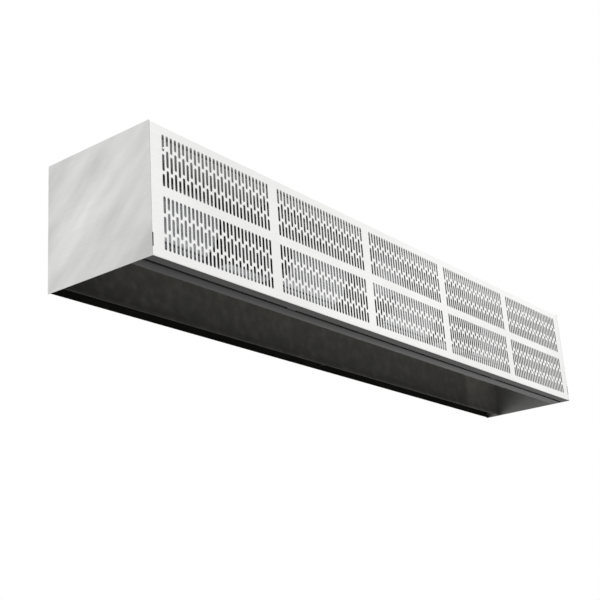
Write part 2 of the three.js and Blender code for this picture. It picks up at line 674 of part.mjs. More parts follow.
/** The box's front cover with a turned lip round it. */
function electricalCover() {
  const half = BOX_WIDTH / 2 + SEAT + BOX_SHEET;
  const front = -BOX_FRONT - SEAT;
  const low = BOX_BOTTOM - SEAT - BOX_SHEET;
  const outer = block([-half, front - BOX_SHEET, low], [half, front + COVER_LIP, BOX_TOP]);
  const inner = block([-half + BOX_SHEET, front, low + BOX_SHEET],
    [half - BOX_SHEET, front + COVER_LIP + 1, TOP]);
  return piece('electrical_cover', cut(outer, inner), galvanised);
}

/** The terminal block on the back wall, with a row of walled cells. */
function terminalBlock() {
  const y1 = BOX_BACK - BOX_SHEET - SEAT;
  const z0 = BOX_BOTTOM + BOX_SHEET + CAPACITOR_RADIUS * 2 + TERMINAL_LIFT;
  const { width, depth, height } = TERMINAL;
  let body = block([-width / 2, y1 - depth, z0], [width / 2, y1, z0 + height]);
  const pitch = width / TERMINAL_CELLS;
  for (let i = 0; i < TERMINAL_CELLS; i += 1) {
    const x = -width / 2 + pitch * (i + 0.5);
    body = cut(body, block([x - pitch * 0.36, y1 - depth - 1, z0 + height * 0.3],
      [x + pitch * 0.36, y1 - depth + TERMINAL_CELL_DEPTH, z0 + height + 1]));
  }
  return piece('terminal_block', body, castPlastic);
}

/** A run capacitor lying on the box floor, with its two terminals. */
function capacitor(name, x) {
  const y1 = BOX_BACK - BOX_SHEET - SEAT;
  const z = BOX_BOTTOM + BOX_SHEET + SEAT + CAPACITOR_RADIUS;
  const can = bar('y', CAPACITOR_RADIUS, y1 - CAPACITOR_LENGTH, y1, [x, z], 12);
  const front = y1 - CAPACITOR_LENGTH;
  const { width, reach, height, offset } = CAPACITOR_TAB;
  const tabs = [x - offset, x + offset].map((middle) => block(
    [middle - width / 2, front - reach, z - height / 2],
    [middle + width / 2, front + 1, z + height / 2],
  ));
  return piece(name, fuse(can, ...tabs), capacitorAluminium);
}

/** The bushing that lines the cable hole, with its flange inside the box. */
function cableBushing() {
  const flangeTop = BOX_TOP - BOX_SHEET - SEAT;
  const flange = bar('z', BUSHING_RADIUS + BUSHING_FLANGE, flangeTop - BUSHING_FLANGE, flangeTop,
    [0, BUSHING_Y], 12);
  const sleeve = bar('z', BUSHING_RADIUS, flangeTop - BUSHING_FLANGE, TOP - SEAT, [0, BUSHING_Y], 12);
  const bore = bar('z', BUSHING_BORE, BOX_BOTTOM, TOP + SHEET, [0, BUSHING_Y], 12);
  return piece('cable_bushing', cut(fuse(flange, sleeve), bore), rubber);
}

/** A route through a list of points, one step to each. */
class Route extends THREE.Curve {
  constructor(points) {
    super();
    this.points = points;
  }

  getPoint(share, target = new THREE.Vector3()) {
    const place = share * (this.points.length - 1);
    const i = Math.min(Math.floor(place), this.points.length - 2);
    return target.lerpVectors(this.points[i], this.points[i + 1], place - i);
  }

  getUtoTmapping(share) {
    return share;
  }
}

/** The conduit from the box to a motor: up against the top panel, then down to the shell. */
function conduit(name, side) {
  const at = (x, y, z) => new THREE.Vector3(x, y, z);
  const along = at(side, 0, 0);
  const slope = at(0, -1, 1).normalize();
  const start = at(side * (BOX_WIDTH / 2 - 3 * BOX_SHEET), CONDUIT_Y, BOX_CONDUIT_Z);
  const out = at(side * (BOX_WIDTH / 2 + BOX_SHEET + CONDUIT_RADIUS), CONDUIT_Y, BOX_CONDUIT_Z);
  const up = at(out.x + side * CONDUIT_BEND, CONDUIT_Y, CONDUIT_Z);
  const turn = at(side * (SET_OFFSET - CONDUIT_BEND), CONDUIT_Y, CONDUIT_Z);
  const shell = at(side * SET_OFFSET, AXIS_Y, AXIS_Z).addScaledVector(slope, MOTOR_RADIUS + SEAT);
  const drop = shell.clone().addScaledVector(slope, CONDUIT_BEND / 2);
  const ease = (from, a, to, b) => new THREE.CubicBezierCurve3(
    from, from.clone().addScaledVector(along, a), to.clone().add(b), to);
  const rise = ease(out, CONDUIT_BEND / 2, up, along.clone().multiplyScalar(-CONDUIT_BEND / 2));
  const fall = ease(turn, CONDUIT_BEND, drop, slope.clone().multiplyScalar(CONDUIT_BEND / 2));
  const route = new Route([start, ...rise.getPoints(4), ...fall.getPoints(6), shell]);
  const ring = new THREE.Shape().absarc(0, 0, CONDUIT_RADIUS, 0, 2 * Math.PI);
  return piece(name, solid(new THREE.ExtrudeGeometry(ring, {
    steps: route.points.length - 1, extrudePath: route, curveSegments: 3, bevelEnabled: false,
  })), conduitSleeve);
}

// ---------------------------------------------------------------- assembly

/** One motor with its shaft, two wheels, two housings and four inlet rings. */
function blowerSet(side, label) {
  const set = new THREE.Group();
  set.position.set(side * SET_OFFSET, AXIS_Y, AXIS_Z);
  set.add(shaft(`shaft_${label}`), motor(`motor_${label}`), motorCradle(`motor_cradle_${label}`));
  for (const [end, way] of [['a', -1], ['b', 1]]) {
    const ring = motorRing(`motor_ring_${label}_${end}`);
    ring.position.x = way * (MOTOR_LENGTH / 2 + BOSS_LENGTH / 2);
    const housing = blowerHousing(`blower_housing_${label}_${end}`);
    const rotor = wheel(`blower_wheel_${label}_${end}`);
    housing.position.x = way * BLOWER_OFFSET;
    rotor.position.x = way * BLOWER_OFFSET;
    set.add(ring, housing, rotor);
    for (const [face, out] of [['inner', -way], ['outer', way]]) {
      const mouth = inletRing(`inlet_ring_${label}_${end}_${face}`);
      mouth.position.x = way * BLOWER_OFFSET + out * (BLOWER_WIDTH / 2 + THIN + SEAT);
      if (out < 0) mouth.rotation.y = Math.PI;
      set.add(mouth);
    }
  }
  return set;
}

const airCurtain = new THREE.Group();
airCurtain.add(
  endPanel('left_end_panel', -1), endPanel('right_end_panel', 1), topPanel(), rearPanel(),
  bottomRail(), intakePanel(), blowerDeck(), nozzlePlate(),
  hingePin('hinge_pin_left', -1), hingePin('hinge_pin_right', 1),
  panelClip('panel_clip_left', -SET_OFFSET), panelClip('panel_clip_right', SET_OFFSET),
  vane('vane_left', -1), vane('vane_right', 1),
  vaneBracket('vane_bracket_left', -BETWEEN_ENDS + SEAT, -BETWEEN_ENDS + SEAT + VANE_BRACKET),
  vaneBracket('vane_bracket_centre', -CENTRE_BRACKET, CENTRE_BRACKET),
  vaneBracket('vane_bracket_right', BETWEEN_ENDS - SEAT - VANE_BRACKET, BETWEEN_ENDS - SEAT),
  blowerSet(-1, 'left'), blowerSet(1, 'right'),
  electricalBox(), electricalCover(), terminalBlock(), cableBushing(),
  capacitor('capacitor_left', -CAPACITOR_SPACING / 2),
  capacitor('capacitor_right', CAPACITOR_SPACING / 2),
  conduit('conduit_left', -1), conduit('conduit_right', 1),
);

export default airCurtain;
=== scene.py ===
"""Looks for an over-door air curtain: a long stainless box with a slotted front, an open
underside and four blowers that press air down a slot beside the wall."""

import json
import math

import bmesh
import bpy
from mathutils import Matrix, Quaternion, Vector


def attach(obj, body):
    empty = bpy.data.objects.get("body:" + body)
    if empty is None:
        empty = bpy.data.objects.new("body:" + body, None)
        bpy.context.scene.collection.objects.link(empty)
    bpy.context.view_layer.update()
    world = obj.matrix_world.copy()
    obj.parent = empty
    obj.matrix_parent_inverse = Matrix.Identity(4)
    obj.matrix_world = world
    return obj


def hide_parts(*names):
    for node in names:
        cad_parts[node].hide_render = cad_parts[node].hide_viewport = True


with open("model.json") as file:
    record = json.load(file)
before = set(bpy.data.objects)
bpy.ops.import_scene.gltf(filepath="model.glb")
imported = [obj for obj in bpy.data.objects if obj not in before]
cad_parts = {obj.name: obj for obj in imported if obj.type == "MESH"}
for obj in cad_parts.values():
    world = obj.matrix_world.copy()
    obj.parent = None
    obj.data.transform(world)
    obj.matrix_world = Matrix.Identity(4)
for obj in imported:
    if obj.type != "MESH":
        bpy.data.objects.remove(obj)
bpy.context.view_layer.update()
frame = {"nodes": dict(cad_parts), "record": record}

MM = 0.001
SIDES = (("left", -1), ("right", 1))

# ---------------- sizes, in millimetres

LENGTH, HEIGHT = 1524, 234
TOP, BOTTOM, FRONT = 117, -117, -242
SHEET, SEAT = 1.5, 0.3
BETWEEN_ENDS, CORNER_X = 760.2, 739.9
DECK_TOP, CRADLE_TOP = -18.1, -14.8
SHEET_BEND, REAR_HEM = 2.4, 6

FIELD_COLUMNS, FIELD_ROWS = 5, 2
SIDE_BORDER, EDGE_BORDER = 27.7, 16
UPRIGHT_BAR, MIDDLE_BAR = 25, 17
SLOT_PITCH, SLOT_WIDTH = 9.525, 5.56
LONG_SLOT, BRIDGE = 30.2, 4.9
FACE_THICKNESS = 0.9
NOTCH_WIDTH, NOTCH_HEIGHT, NOTCH_LIFT = 2.5, 23, 16
PANEL_RETURN, PANEL_TOP_RETURN = 18, 11
FOLD_RADIUS, FOLD_STEPS = 1.3, 5
FOLD_SHARE = 0.999
FIELDS_X, FIELDS_Z = 735, 102
HINGE_Y, HINGE_Z = -234, 111
LUG_X, LUG_SHEET, LUG_BACK, LUG_DROP = 737.9, 2, 5, 10
HINGE_PIN_TIP, HINGE_PIN_HEAD = 732.9, 757.2
FOAM_REACH, FOAM_TOP, FOAM_BOTTOM, FOAM_DEPTH = 728, 3.5, 13.5, 4

BUSHING_Y, BUSHING_HOLE = -163, 11.3
HANGER_X, HANGER_Y, HANGER_RADIUS = 672, (-50, -192), 5.5
KEYHOLE_DROP, KEYHOLE_SHARES = 50, (-0.38, -0.13, 0.13, 0.38)
KEYHOLE_ENTRY, KEYHOLE_NECK, KEYHOLE_RISE = 8, 4, 18
RIVET_INSET = 8
RIVET_Y, RIVET_Z = (-205, -145, -85, -25), (-80, -20, 40, 95)

AXIS_Y, AXIS_Z = -87.0, 38.4
SET_OFFSET, BLOWER_OFFSET = 385, 200
WHEEL_RADIUS, WHEEL_WIDTH, BLADE_DEPTH = 51, 166, 10
BLADES, BLADE_SHEET, RIM_WIDTH = 38, 0.55, 3.2
WHEEL_RIM, HUB_RADIUS, HUB_LENGTH = 2, 14, 26
SHAFT_RADIUS, SHAFT_REACH = 6.35, 227
HOUSING_HALF, THIN = 90, 1.2
SCROLL_START, SCROLL_GROWTH = 55, 28
TONGUE = math.radians(25)
OUTLET_DROP = 56.2
INLET_RADIUS, INLET_MOUTH, INLET_FLANGE, INLET_DEPTH = 38, 45, 51, 7.2
INLET_FACE, INLET_SCREW_CIRCLE = 92.7, 48
MOTOR_RADIUS, MOTOR_LENGTH, BELL, BOSS_RADIUS, BOSS_LENGTH = 42, 110, 18, 19, 12
MOTOR_BOLT_CIRCLE = 34
TOP_FRONT = -225.7

VANE_Y, VANE_Z = -19.25, -90.0
VANE_CHORD, VANE_THICKNESS = 26, 4
VANE_INNER, VANE_OUTER = 4.7, 755.7
VANE_COLLAR, VANE_COLLAR_LENGTH = 3.2, 8
VANE_PIN, VANE_PIN_REACH = 2.5, 4.2

CONDUIT_RADIUS, CONDUIT_Y = 5, -177.33
CONDUIT_LOW, CONDUIT_HIGH = 105.2, 110.2
CONDUIT_START, CONDUIT_OUT, CONDUIT_UP, CONDUIT_TURN = 44.4, 54.2, 80.2, 359
CONDUIT_ARM, CONDUIT_BEND = 13, 26
RIB_STEP, RIB_VALLEY = 1.6, 0.86
BOX_SIDE, COVER_FACE = 48.3, -201.5
COVER_SCREW_X, COVER_SCREW_Z = (-41, 41), (29, 108)
CRADLE_SCREW_X, CRADLE_SCREW_Y = (-45, 45), (-119, -55)
CAPACITOR_X, CAPACITOR_Z, CAPACITOR_RADIUS = 20, 39.7, 15
CAPACITOR_FRONT, CAPACITOR_BACK = -173.5, -127.5
TAB_X, TAB_HALF, TAB_RISE, TAB_REACH = 5, 0.4, 3, 8
TERMINAL_WIDTH, TERMINAL_CELLS = 62, 6
TERMINAL_FACE, TERMINAL_Z = -141.2, 69

# Turned profiles, each a list of (place on the axis, radius)
RIVET_PROFILE = [(-0.2, 0), (-0.2, 3.2), (0.3, 3.2), (0.8, 2.6), (1.1, 1.7), (1.1, 1.2),
                 (0.6, 1.1), (0.6, 0)]
RING_PROFILE = [(-4.5, 19.3), (-4.5, 24.3), (-3.5, 25.3), (-1.8, 25.3), (-1.2, 24.2),
                (1.2, 24.2), (1.8, 25.3), (3.5, 25.3), (4.5, 24.3), (4.5, 19.3),
                (-4.5, 19.3)]
NUT_PROFILE = [(0, 5.2), (0, 7.4), (0.5, 8), (3.2, 8), (3.7, 7.4), (3.7, 6.6), (6, 6.3),
               (6, 5.2), (0, 5.2)]
BUSHING_PROFILE = [(109.9, 8.4), (109.7, 9), (109.7, 14), (110.6, 15), (112.8, 15),
                   (113.7, 14), (113.7, 11), (115.9, 11), (116.7, 10.3), (116.7, 8.8),
                   (116.2, 8.1), (112, 8), (109.9, 8.4)]

SHARP_ANGLE = math.radians(30)
CAMERA_PLACE = (-1.902, -1.350, -0.742)
CAMERA_TURNS = (53.82, 18.77, -4.10)
CAMERA_LENS, CAMERA_SENSOR = 66.1, 36
FLOOR_SIZE, FLOOR_Z = 60, -3.6
FADE_NEAR, FADE_FAR = 4.0, 13.0
ROOM_LIGHT = 0.72
LAMPS = (("key", (-2.8, -3.4, 2.4), (-0.2, -0.2, 0), 3.0, 18),
         ("fill", (1.6, -4.2, -0.6), (0.2, -0.2, 0), 2.8, 4))

# ---------------- camera


def linked(name, data):
    """A new object in the scene."""
    made = bpy.data.objects.new(name, data)
    bpy.context.scene.collection.objects.link(made)
    return made


def photograph_camera():
    """The camera at the photograph's place, below the left front corner and looking up."""
    heading, climb, roll = (math.radians(turn) for turn in CAMERA_TURNS)
    forward = Vector((math.sin(heading) * math.cos(climb),
                      math.cos(heading) * math.cos(climb), math.sin(climb)))
    data = bpy.data.cameras.new("camera")
    data.sensor_width = CAMERA_SENSOR
    data.lens = CAMERA_LENS
    data.clip_start, data.clip_end = 0.05, 60
    camera = linked("camera", data)
    camera.rotation_mode = "QUATERNION"
    camera.rotation_quaternion = (forward.to_track_quat("-Z", "Y")
                                  @ Quaternion((0, 0, 1), roll))
    camera.location = CAMERA_PLACE
    bpy.context.scene.camera = camera


photograph_camera()

# ---------------- shader effects


def feed(tree, socket, value):
    """A socket given a value, or linked from another node's output."""
    if isinstance(value, bpy.types.NodeSocket):
        tree.links.new(value, socket)
    else:
        socket.default_value = value


def add(tree, kind, inputs=None, **settings):
    """A shader node with its settings and inputs, each a value or another node's output."""
    made = tree.nodes.new("ShaderNode" + kind)
    for key, value in settings.items():
        setattr(made, key, value)
    for key, value in (inputs or {}).items():
        feed(tree, made.inputs[key], value)
    return made


def ramp(tree, value, low, high, bottom=0.0, top=1.0):
    """A value stretched so that low becomes the bottom and high becomes the top."""
    return add(tree, "MapRange", {"Value": value, "From Min": low, "From Max": high,
                                  "To Min": bottom, "To Max": top}).outputs["Result"]


def noise(tree, place, scale, detail, **more):
    """Soft noise over a place, between nought and one."""
    return add(tree, "TexNoise", {"Vector": place, "Scale": scale, "Detail": detail,
                                  **more}).outputs["Fac"]


def mix_colour(tree, share, first, second, blend="MIX"):
    """Two colours mixed by a share."""
    made = add(tree, "Mix", data_type="RGBA", blend_type=blend)
    for index, value in ((0, share), (6, first), (7, second)):
        feed(tree, made.inputs[index], value)
    return made.outputs[2]


def maths(tree, operation, first, second):
    """One arithmetic step on two values."""
    made = add(tree, "Math", operation=operation)
    for index, value in enumerate((first, second)):
        feed(tree, made.inputs[index], value)
    return made.outputs[0]


def new_effect(name, inputs, outputs):
    """An empty node group with its named inputs and outputs."""
    group = bpy.data.node_groups.new(name, "ShaderNodeTree")
    for label, (kind, value) in inputs.items():
        socket = group.interface.new_socket(label, in_out="INPUT",
                                            socket_type="NodeSocket" + kind)
        socket.default_value = value
    for label, kind in outputs.items():
        group.interface.new_socket(label, in_out="OUTPUT", socket_type="NodeSocket" + kind)
    entry = group.nodes.new("NodeGroupInput").outputs
    leave = group.nodes.new("NodeGroupOutput").inputs
    return group, entry, leave


def rolled_sheet_effect():
    """Rolled and brushed sheet: long grain lines and broad clouding, which on the face and
    end sheets is partly real clouding and partly painted reflection.
    """
    group, given, out = new_effect("rolled sheet", {
        "Light": ("Color", (0.7, 0.7, 0.7, 1)), "Dark": ("Color", (0.5, 0.5, 0.5, 1)),
        "Grain Scale": ("Vector", (4, 300, 300)), "Cloud Size": ("Vector", (0.3, 0.3, 0.3)),
        "Cloud Turn": ("Vector", (0, 0, 0)),
        "Roughness": ("Float", 0.3), "Roughness Spread": ("Float", 0.1),
        "Grain Depth": ("Float", 0.1),
    }, {"Color": "Color", "Roughness": "Float", "Height": "Float"})
    place = add(group, "TexCoord").outputs["Object"]
    drawn = add(group, "Mapping", {"Vector": place, "Scale": given["Cloud Size"],
                                   "Rotation": given["Cloud Turn"]}, vector_type="TEXTURE")
    cloud_and_reflection = noise(group, drawn.outputs["Vector"], 1.0, 3.0, Roughness=0.55)
    cloud_and_reflection = ramp(group, cloud_and_reflection, 0.32, 0.68)
    stretched = add(group, "Mapping", {"Vector": place, "Scale": given["Grain Scale"]})
    grain = noise(group, stretched.outputs["Vector"], 1.0, 5.0, Roughness=0.65)
    grain = ramp(group, grain, 0.3, 0.7)
    colour = mix_colour(group, cloud_and_reflection, given["Dark"], given["Light"])
    shade = maths(group, "SUBTRACT", 1.0,
                  maths(group, "MULTIPLY", grain, given["Grain Depth"]))
    group.links.new(mix_colour(group, 1.0, colour, shade, "MULTIPLY"), out["Color"])
    mottle = maths(group, "ADD", maths(group, "MULTIPLY", grain, 0.6),
                   maths(group, "MULTIPLY", cloud_and_reflection, 0.4))
    rough = maths(group, "ADD", given["Roughness"],
                  maths(group, "MULTIPLY", mottle, given["Roughness Spread"]))
    group.links.new(rough, out["Roughness"])
    group.links.new(grain, out["Height"])
    return group


def zinc_spangle_effect():
    """Hot-dipped zinc: flat crystal patches of slightly different grey."""
    group, given, out = new_effect("zinc spangle", {
        "Color": ("Color", (0.45, 0.47, 0.48, 1)), "Patch Scale": ("Float", 90.0),
        "Contrast": ("Float", 0.3), "Roughness": ("Float", 0.4),
    }, {"Color": "Color", "Roughness": "Float", "Height": "Float"})
    place = add(group, "TexCoord").outputs["Object"]
    warp = add(group, "TexNoise", {"Vector": place, "Scale": 60.0, "Detail": 2.0})
    bent = add(group, "VectorMath", {0: place}, operation="MULTIPLY_ADD")
    group.links.new(warp.outputs["Color"], bent.inputs[0])
    bent.inputs[1].default_value = (0.004, 0.004, 0.004)
    group.links.new(place, bent.inputs[2])
    patch = add(group, "TexVoronoi", {"Vector": bent.outputs[0],
                                      "Scale": given["Patch Scale"]})
    tone = add(group, "SeparateColor", {"Color": patch.outputs["Color"]}).outputs[0]
    dust = noise(group, place, 9.0, 4.0)
    low = maths(group, "SUBTRACT", 1.0, given["Contrast"])
    shade = ramp(group, tone, 0.0, 1.0, low, 1.08)
    colour = mix_colour(group, 1.0, given["Color"], shade, "MULTIPLY")
    dusty = ramp(group, dust, 0.52, 0.8)
    colour = mix_colour(group, maths(group, "MULTIPLY", dusty, 0.22), colour,
                        (0.33, 0.31, 0.28, 1))
    group.links.new(colour, out["Color"])
    rough = maths(group, "ADD", given["Roughness"], maths(group, "MULTIPLY", tone, 0.16))
    group.links.new(maths(group, "ADD", rough, maths(group, "MULTIPLY", dusty, 0.25)),
                    out["Roughness"])
    group.links.new(tone, out["Height"])
    return group


def coated_effect():
    """Paint, rubber or moulded plastic: fine peel, mottled tone and settled dust.

    The tone may change from low to high along Z, and past a far place along X; on the
    nozzle plate this is painted light and shade: darker low down, brighter high up, and
    lighter past a painted shadow edge."""
    group, given, out = new_effect("coated surface", {
        "Color": ("Color", (0.05, 0.05, 0.05, 1)), "Dust": ("Color", (0.2, 0.19, 0.17, 1)),
        "Dust Amount": ("Float", 0.2), "Peel Scale": ("Float", 900.0),
        "Roughness": ("Float", 0.5), "Mottle Scale": ("Float", 14.0),
        "Mottle Depth": ("Float", 0.13), "Low": ("Float", -0.117), "High": ("Float", -0.06),
        "Low Tone": ("Float", 1.0), "High Tone": ("Float", 1.0),
        "Far Place": ("Float", 10.0), "Far Tone": ("Float", 1.0),
    }, {"Color": "Color", "Roughness": "Float", "Height": "Float"})
    place = add(group, "TexCoord").outputs["Object"]
    peel = noise(group, place, given["Peel Scale"], 2.0)
    broad = noise(group, place, given["Mottle Scale"], 5.0)
    tone = ramp(group, broad, 0.3, 0.7,
                maths(group, "SUBTRACT", 1.0, given["Mottle Depth"]),
                maths(group, "ADD", 1.0, given["Mottle Depth"]))
    along = add(group, "SeparateXYZ", {"Vector": place}).outputs
    # painted light: the tone brightens from Low to High along Z, for light falling on the
    # upper wall
    painted_light_rise = ramp(group, along["Z"], given["Low"], given["High"], given["Low Tone"],
                given["High Tone"])
    # painted light and shade: the tone changes past the far place along X, a painted shadow
    # edge
    painted_light_step = ramp(group, along["X"], given["Far Place"],
                  maths(group, "ADD", given["Far Place"], 0.014), 1.0, given["Far Tone"])
    shade = maths(group, "MULTIPLY", maths(group, "MULTIPLY", tone, painted_light_rise), painted_light_step)
    colour = mix_colour(group, 1.0, given["Color"], shade, "MULTIPLY")
    settled = maths(group, "MULTIPLY", ramp(group, broad, 0.5, 0.75), given["Dust Amount"])
    group.links.new(mix_colour(group, settled, colour, given["Dust"]), out["Color"])
    rough = maths(group, "ADD", given["Roughness"], maths(group, "MULTIPLY", broad, 0.16))
    group.links.new(rough, out["Roughness"])
    group.links.new(peel, out["Height"])
    return group


ROLLED_SHEET = rolled_sheet_effect()
ZINC_SPANGLE = zinc_spangle_effect()
COATED = coated_effect()

# ---------------- materials


def material_from(name, effect, values, bump, distance, metallic):
    """A material whose colour, roughness and relief come from an effect group."""
    material = bpy.data.materials.new(name)
    material.use_nodes = True
    tree = material.node_tree
    shader = tree.nodes["Principled BSDF"]
    source = tree.nodes.new("ShaderNodeGroup")
    source.node_tree = effect
    for key, value in values.items():
        source.inputs[key].default_value = value
    relief = add(tree, "Bump", {"Strength": bump, "Distance": distance,
                                "Height": source.outputs["Height"]})
    tree.links.new(source.outputs["Color"], shader.inputs["Base Color"])
    tree.links.new(source.outputs["Roughness"], shader.inputs["Roughness"])
    tree.links.new(relief.outputs["Normal"], shader.inputs["Normal"])
    shader.inputs["Metallic"].default_value = metallic
    return material


def grey(level, warmth):
    """A grey, made a little warmer."""
    return (level * (1 + warmth), level, level * (1 - warmth), 1)


def sheet_finish(name, dark, light, grain, rough, spread, bump=0.12, depth=0.1,
                 clouds=(0.28, 0.28, 0.28), turn=(0, 0, 0)):
    """Stainless sheet with its grain running along one axis."""
    return material_from(name, ROLLED_SHEET, {
        "Light": grey(light, 0.006), "Dark": grey(dark, 0.006), "Grain Scale": grain,
        "Cloud Size": clouds, "Cloud Turn": turn, "Roughness": rough,
        "Roughness Spread": spread, "Grain Depth": depth,
    }, bump, 0.00004, 1.0)


def zinc_finish(name, level, rough, contrast, scale):
    """Galvanised sheet of a given grey and size of crystal."""
    return material_from(name, ZINC_SPANGLE, {
        "Color": (level * 0.97, level, level * 1.03, 1), "Patch Scale": scale,
        "Contrast": contrast, "Roughness": rough,
    }, 0.1, 0.00005, 1.0)


def coat_finish(name, colour, rough, peel=900.0, dust=0.2, bump=0.15, metallic=0.0,
                specular=0.5, **more):
    """Paint, rubber or plastic. What more it is given are the effect's own inputs."""
    material = material_from(name, COATED, {
        "Color": colour, "Dust Amount": dust, "Peel Scale": peel, "Roughness": rough,
        **more,
    }, bump, 0.00006, metallic)
    shader = material.node_tree.nodes["Principled BSDF"]
    shader.inputs["Specular IOR Level"].default_value = specular
    return material


ALONG_X, ALONG_Y = (5, 420, 420), (420, 5, 420)
# The end sheet's broad diagonal clouding is partly real clouding and partly painted
# reflection streaks.
END_SHEET = sheet_finish("brushed end sheet", 0.57, 0.83, ALONG_Y, 0.36, 0.10, 0.08, 0.05,
                         (0.11, 0.085, 0.26), (math.radians(50), 0, 0))
CASE_SHEET = sheet_finish("brushed case sheet", 0.50, 0.62, ALONG_X, 0.34, 0.12)
# The face sheet's soft clouding is partly real clouding and partly painted dark
# reflections.
FACE_SHEET = sheet_finish("polished face sheet", 0.84, 0.96, ALONG_X, 0.20, 0.10, 0.05,
                          0.035, (0.45, 0.45, 0.45))
CUT_EDGE = sheet_finish("sheared slot edge", 0.46, 0.56, (300, 300, 20), 0.42, 0.12)
# Painted shade: a darker stainless for the end panels' inner faces inside the casing.
END_PAINTED_SHADE = sheet_finish("end sheet inner painted shade", 0.30, 0.38, ALONG_Y, 0.55, 0.10)
MILL_SHEET = sheet_finish("mill finish inside", 0.74, 0.84, ALONG_X, 0.60, 0.10)
# Painted shade: stainless darkened to near black for the shaded bottom rail and the intake
# panel's bottom return.
RAIL_PAINTED_SHADE = sheet_finish("rail sheet painted shade", 0.056, 0.082, ALONG_X, 0.46, 0.10)
ZINC = zinc_finish("galvanised sheet", 0.58, 0.38, 0.22, 130.0)
WHEEL_ZINC = zinc_finish("wheel sheet", 0.42, 0.42, 0.16, 190.0)
PIN_STEEL = sheet_finish("ground steel", 0.48, 0.56, (900, 60, 60), 0.25, 0.12)
DARK_COAT = coat_finish("charcoal coat", (0.044, 0.043, 0.039, 1), 0.6, dust=0.10,
                        specular=0.2)
# The nozzle plate's coat carries painted light and shade: darker at the bottom, much
# brighter towards its top, and lighter past x = 0.585 where a painted shadow edge ends.
NOZZLE_COAT = coat_finish("nozzle coat", (0.044, 0.043, 0.039, 1), 0.6, dust=0.10,
                          specular=0.2, **{"Mottle Scale": 48.0, "Mottle Depth": 0.17,
                                           "Low Tone": 0.70, "High": -0.035,
                                           "High Tone": 2.3, "Far Place": 0.585,
                                           "Far Tone": 1.6})
# Painted shade: black for the deep discharge slot's shadow, on the rear panel's inner face
# below the deck and on its hem.
SLOT_PAINTED_SHADE = coat_finish("black slot painted shade", (0.015, 0.015, 0.014, 1), 0.8, 300.0, 0.05,
                          0.3, specular=0.1)
DARK_ANODISED = coat_finish("dark anodised", (0.052, 0.052, 0.054, 1), 0.42, metallic=0.6)
MOTOR_PAINT = coat_finish("motor enamel", (0.06, 0.065, 0.07, 1), 0.34, 500.0)
RUBBER = coat_finish("black rubber", (0.018, 0.018, 0.018, 1), 0.72, 1400.0)
MOULDING = coat_finish("ivory moulding", (0.62, 0.60, 0.52, 1), 0.45, 1800.0, 0.15)
CAN = sheet_finish("drawn can", 0.52, 0.62, (60, 900, 60), 0.3, 0.1)
SLEEVE = coat_finish("conduit sleeve", (0.03, 0.03, 0.033, 1), 0.55, 700.0)

SLOT_FINISH = {
    "brushed_stainless": CASE_SHEET, "polished_stainless": FACE_SHEET,
    "galvanised_steel": ZINC, "wheel_steel": WHEEL_ZINC, "dark_painted_steel": DARK_COAT,
    "dark_aluminium": DARK_ANODISED, "pin_steel": PIN_STEEL, "motor_paint": MOTOR_PAINT,
    "rubber": RUBBER, "terminal_plastic": MOULDING, "capacitor_can": CAN,
    "conduit_sleeve": SLEEVE,
}
NODE_SLOT = {row["node"]: row["material_slot"] for row in frame["record"]["subparts"]}
NODE_FINISH = {node: SLOT_FINISH[slot] for node, slot in NODE_SLOT.items()}
# The bottom rail's dark sheet is painted shade, and the nozzle plate's coat carries painted
# light and shade.
NODE_FINISH.update({"left_end_panel": END_SHEET, "right_end_panel": END_SHEET,
                    "bottom_rail": RAIL_PAINTED_SHADE, "nozzle_plate": NOZZLE_COAT})
# Painted shade: the vane brackets inside the slot take the dark coat so the slot stays
# dark.
for place in ("left", "centre", "right"):
    NODE_FINISH[f"vane_bracket_{place}"] = DARK_COAT
for place in ("left", "right"):
    NODE_FINISH[f"panel_clip_{place}"] = DARK_ANODISED
NODE_BODY = {node: body for body, nodes in frame["record"]["behaviour"]["bodies"].items()
             for node in nodes}

for node, cad in frame["nodes"].items():
    cad.data.materials.clear()
    cad.data.materials.append(NODE_FINISH[node])

# ---------------- building


def place_piece(name, bm, materials, body, stands_for=(), slot=None, smooth=35):
    """A finished mesh as an object at the origin that rides on a body."""
    limit = math.radians(smooth)
    for edge in bm.edges:
        edge.smooth = len(edge.link_faces) == 2 and edge.calc_face_angle(0) < limit
    for face in bm.faces:
        face.smooth = True
    mesh = bpy.data.meshes.new(name)
    bm.to_mesh(mesh)
    bm.free()
    for material in materials if isinstance(materials, (list, tuple)) else [materials]:
        mesh.materials.append(material)
    made = linked(name, mesh)
    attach(made, body)
    if stands_for:
        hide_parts(*([stands_for] if isinstance(stands_for, str) else stands_for))
    return made


def scaled(bm):
    """Millimetres to metres."""
    bmesh.ops.scale(bm, vec=(MM,) * 3, verts=bm.verts)
    return bm


def set_out(bm, centre=(0, 0, 0)):
    """A piece's faces turned outward, and the piece moved to its centre."""
    bmesh.ops.recalc_face_normals(bm, faces=bm.faces)
    bmesh.ops.translate(bm, vec=centre, verts=bm.verts)
    bm.normal_update()


def round_edges(bm, radius, segments=2):
    """The sharp edges of a solid rounded by a small radius."""
    sharp = [e for e in bm.edges
             if len(e.link_faces) == 2 and e.calc_face_angle(0) > SHARP_ANGLE]
    bmesh.ops.bevel(bm, geom=sharp, offset=radius, offset_type="OFFSET", affect="EDGES",
                    segments=segments, profile=0.5, material=-1, clamp_overlap=True)


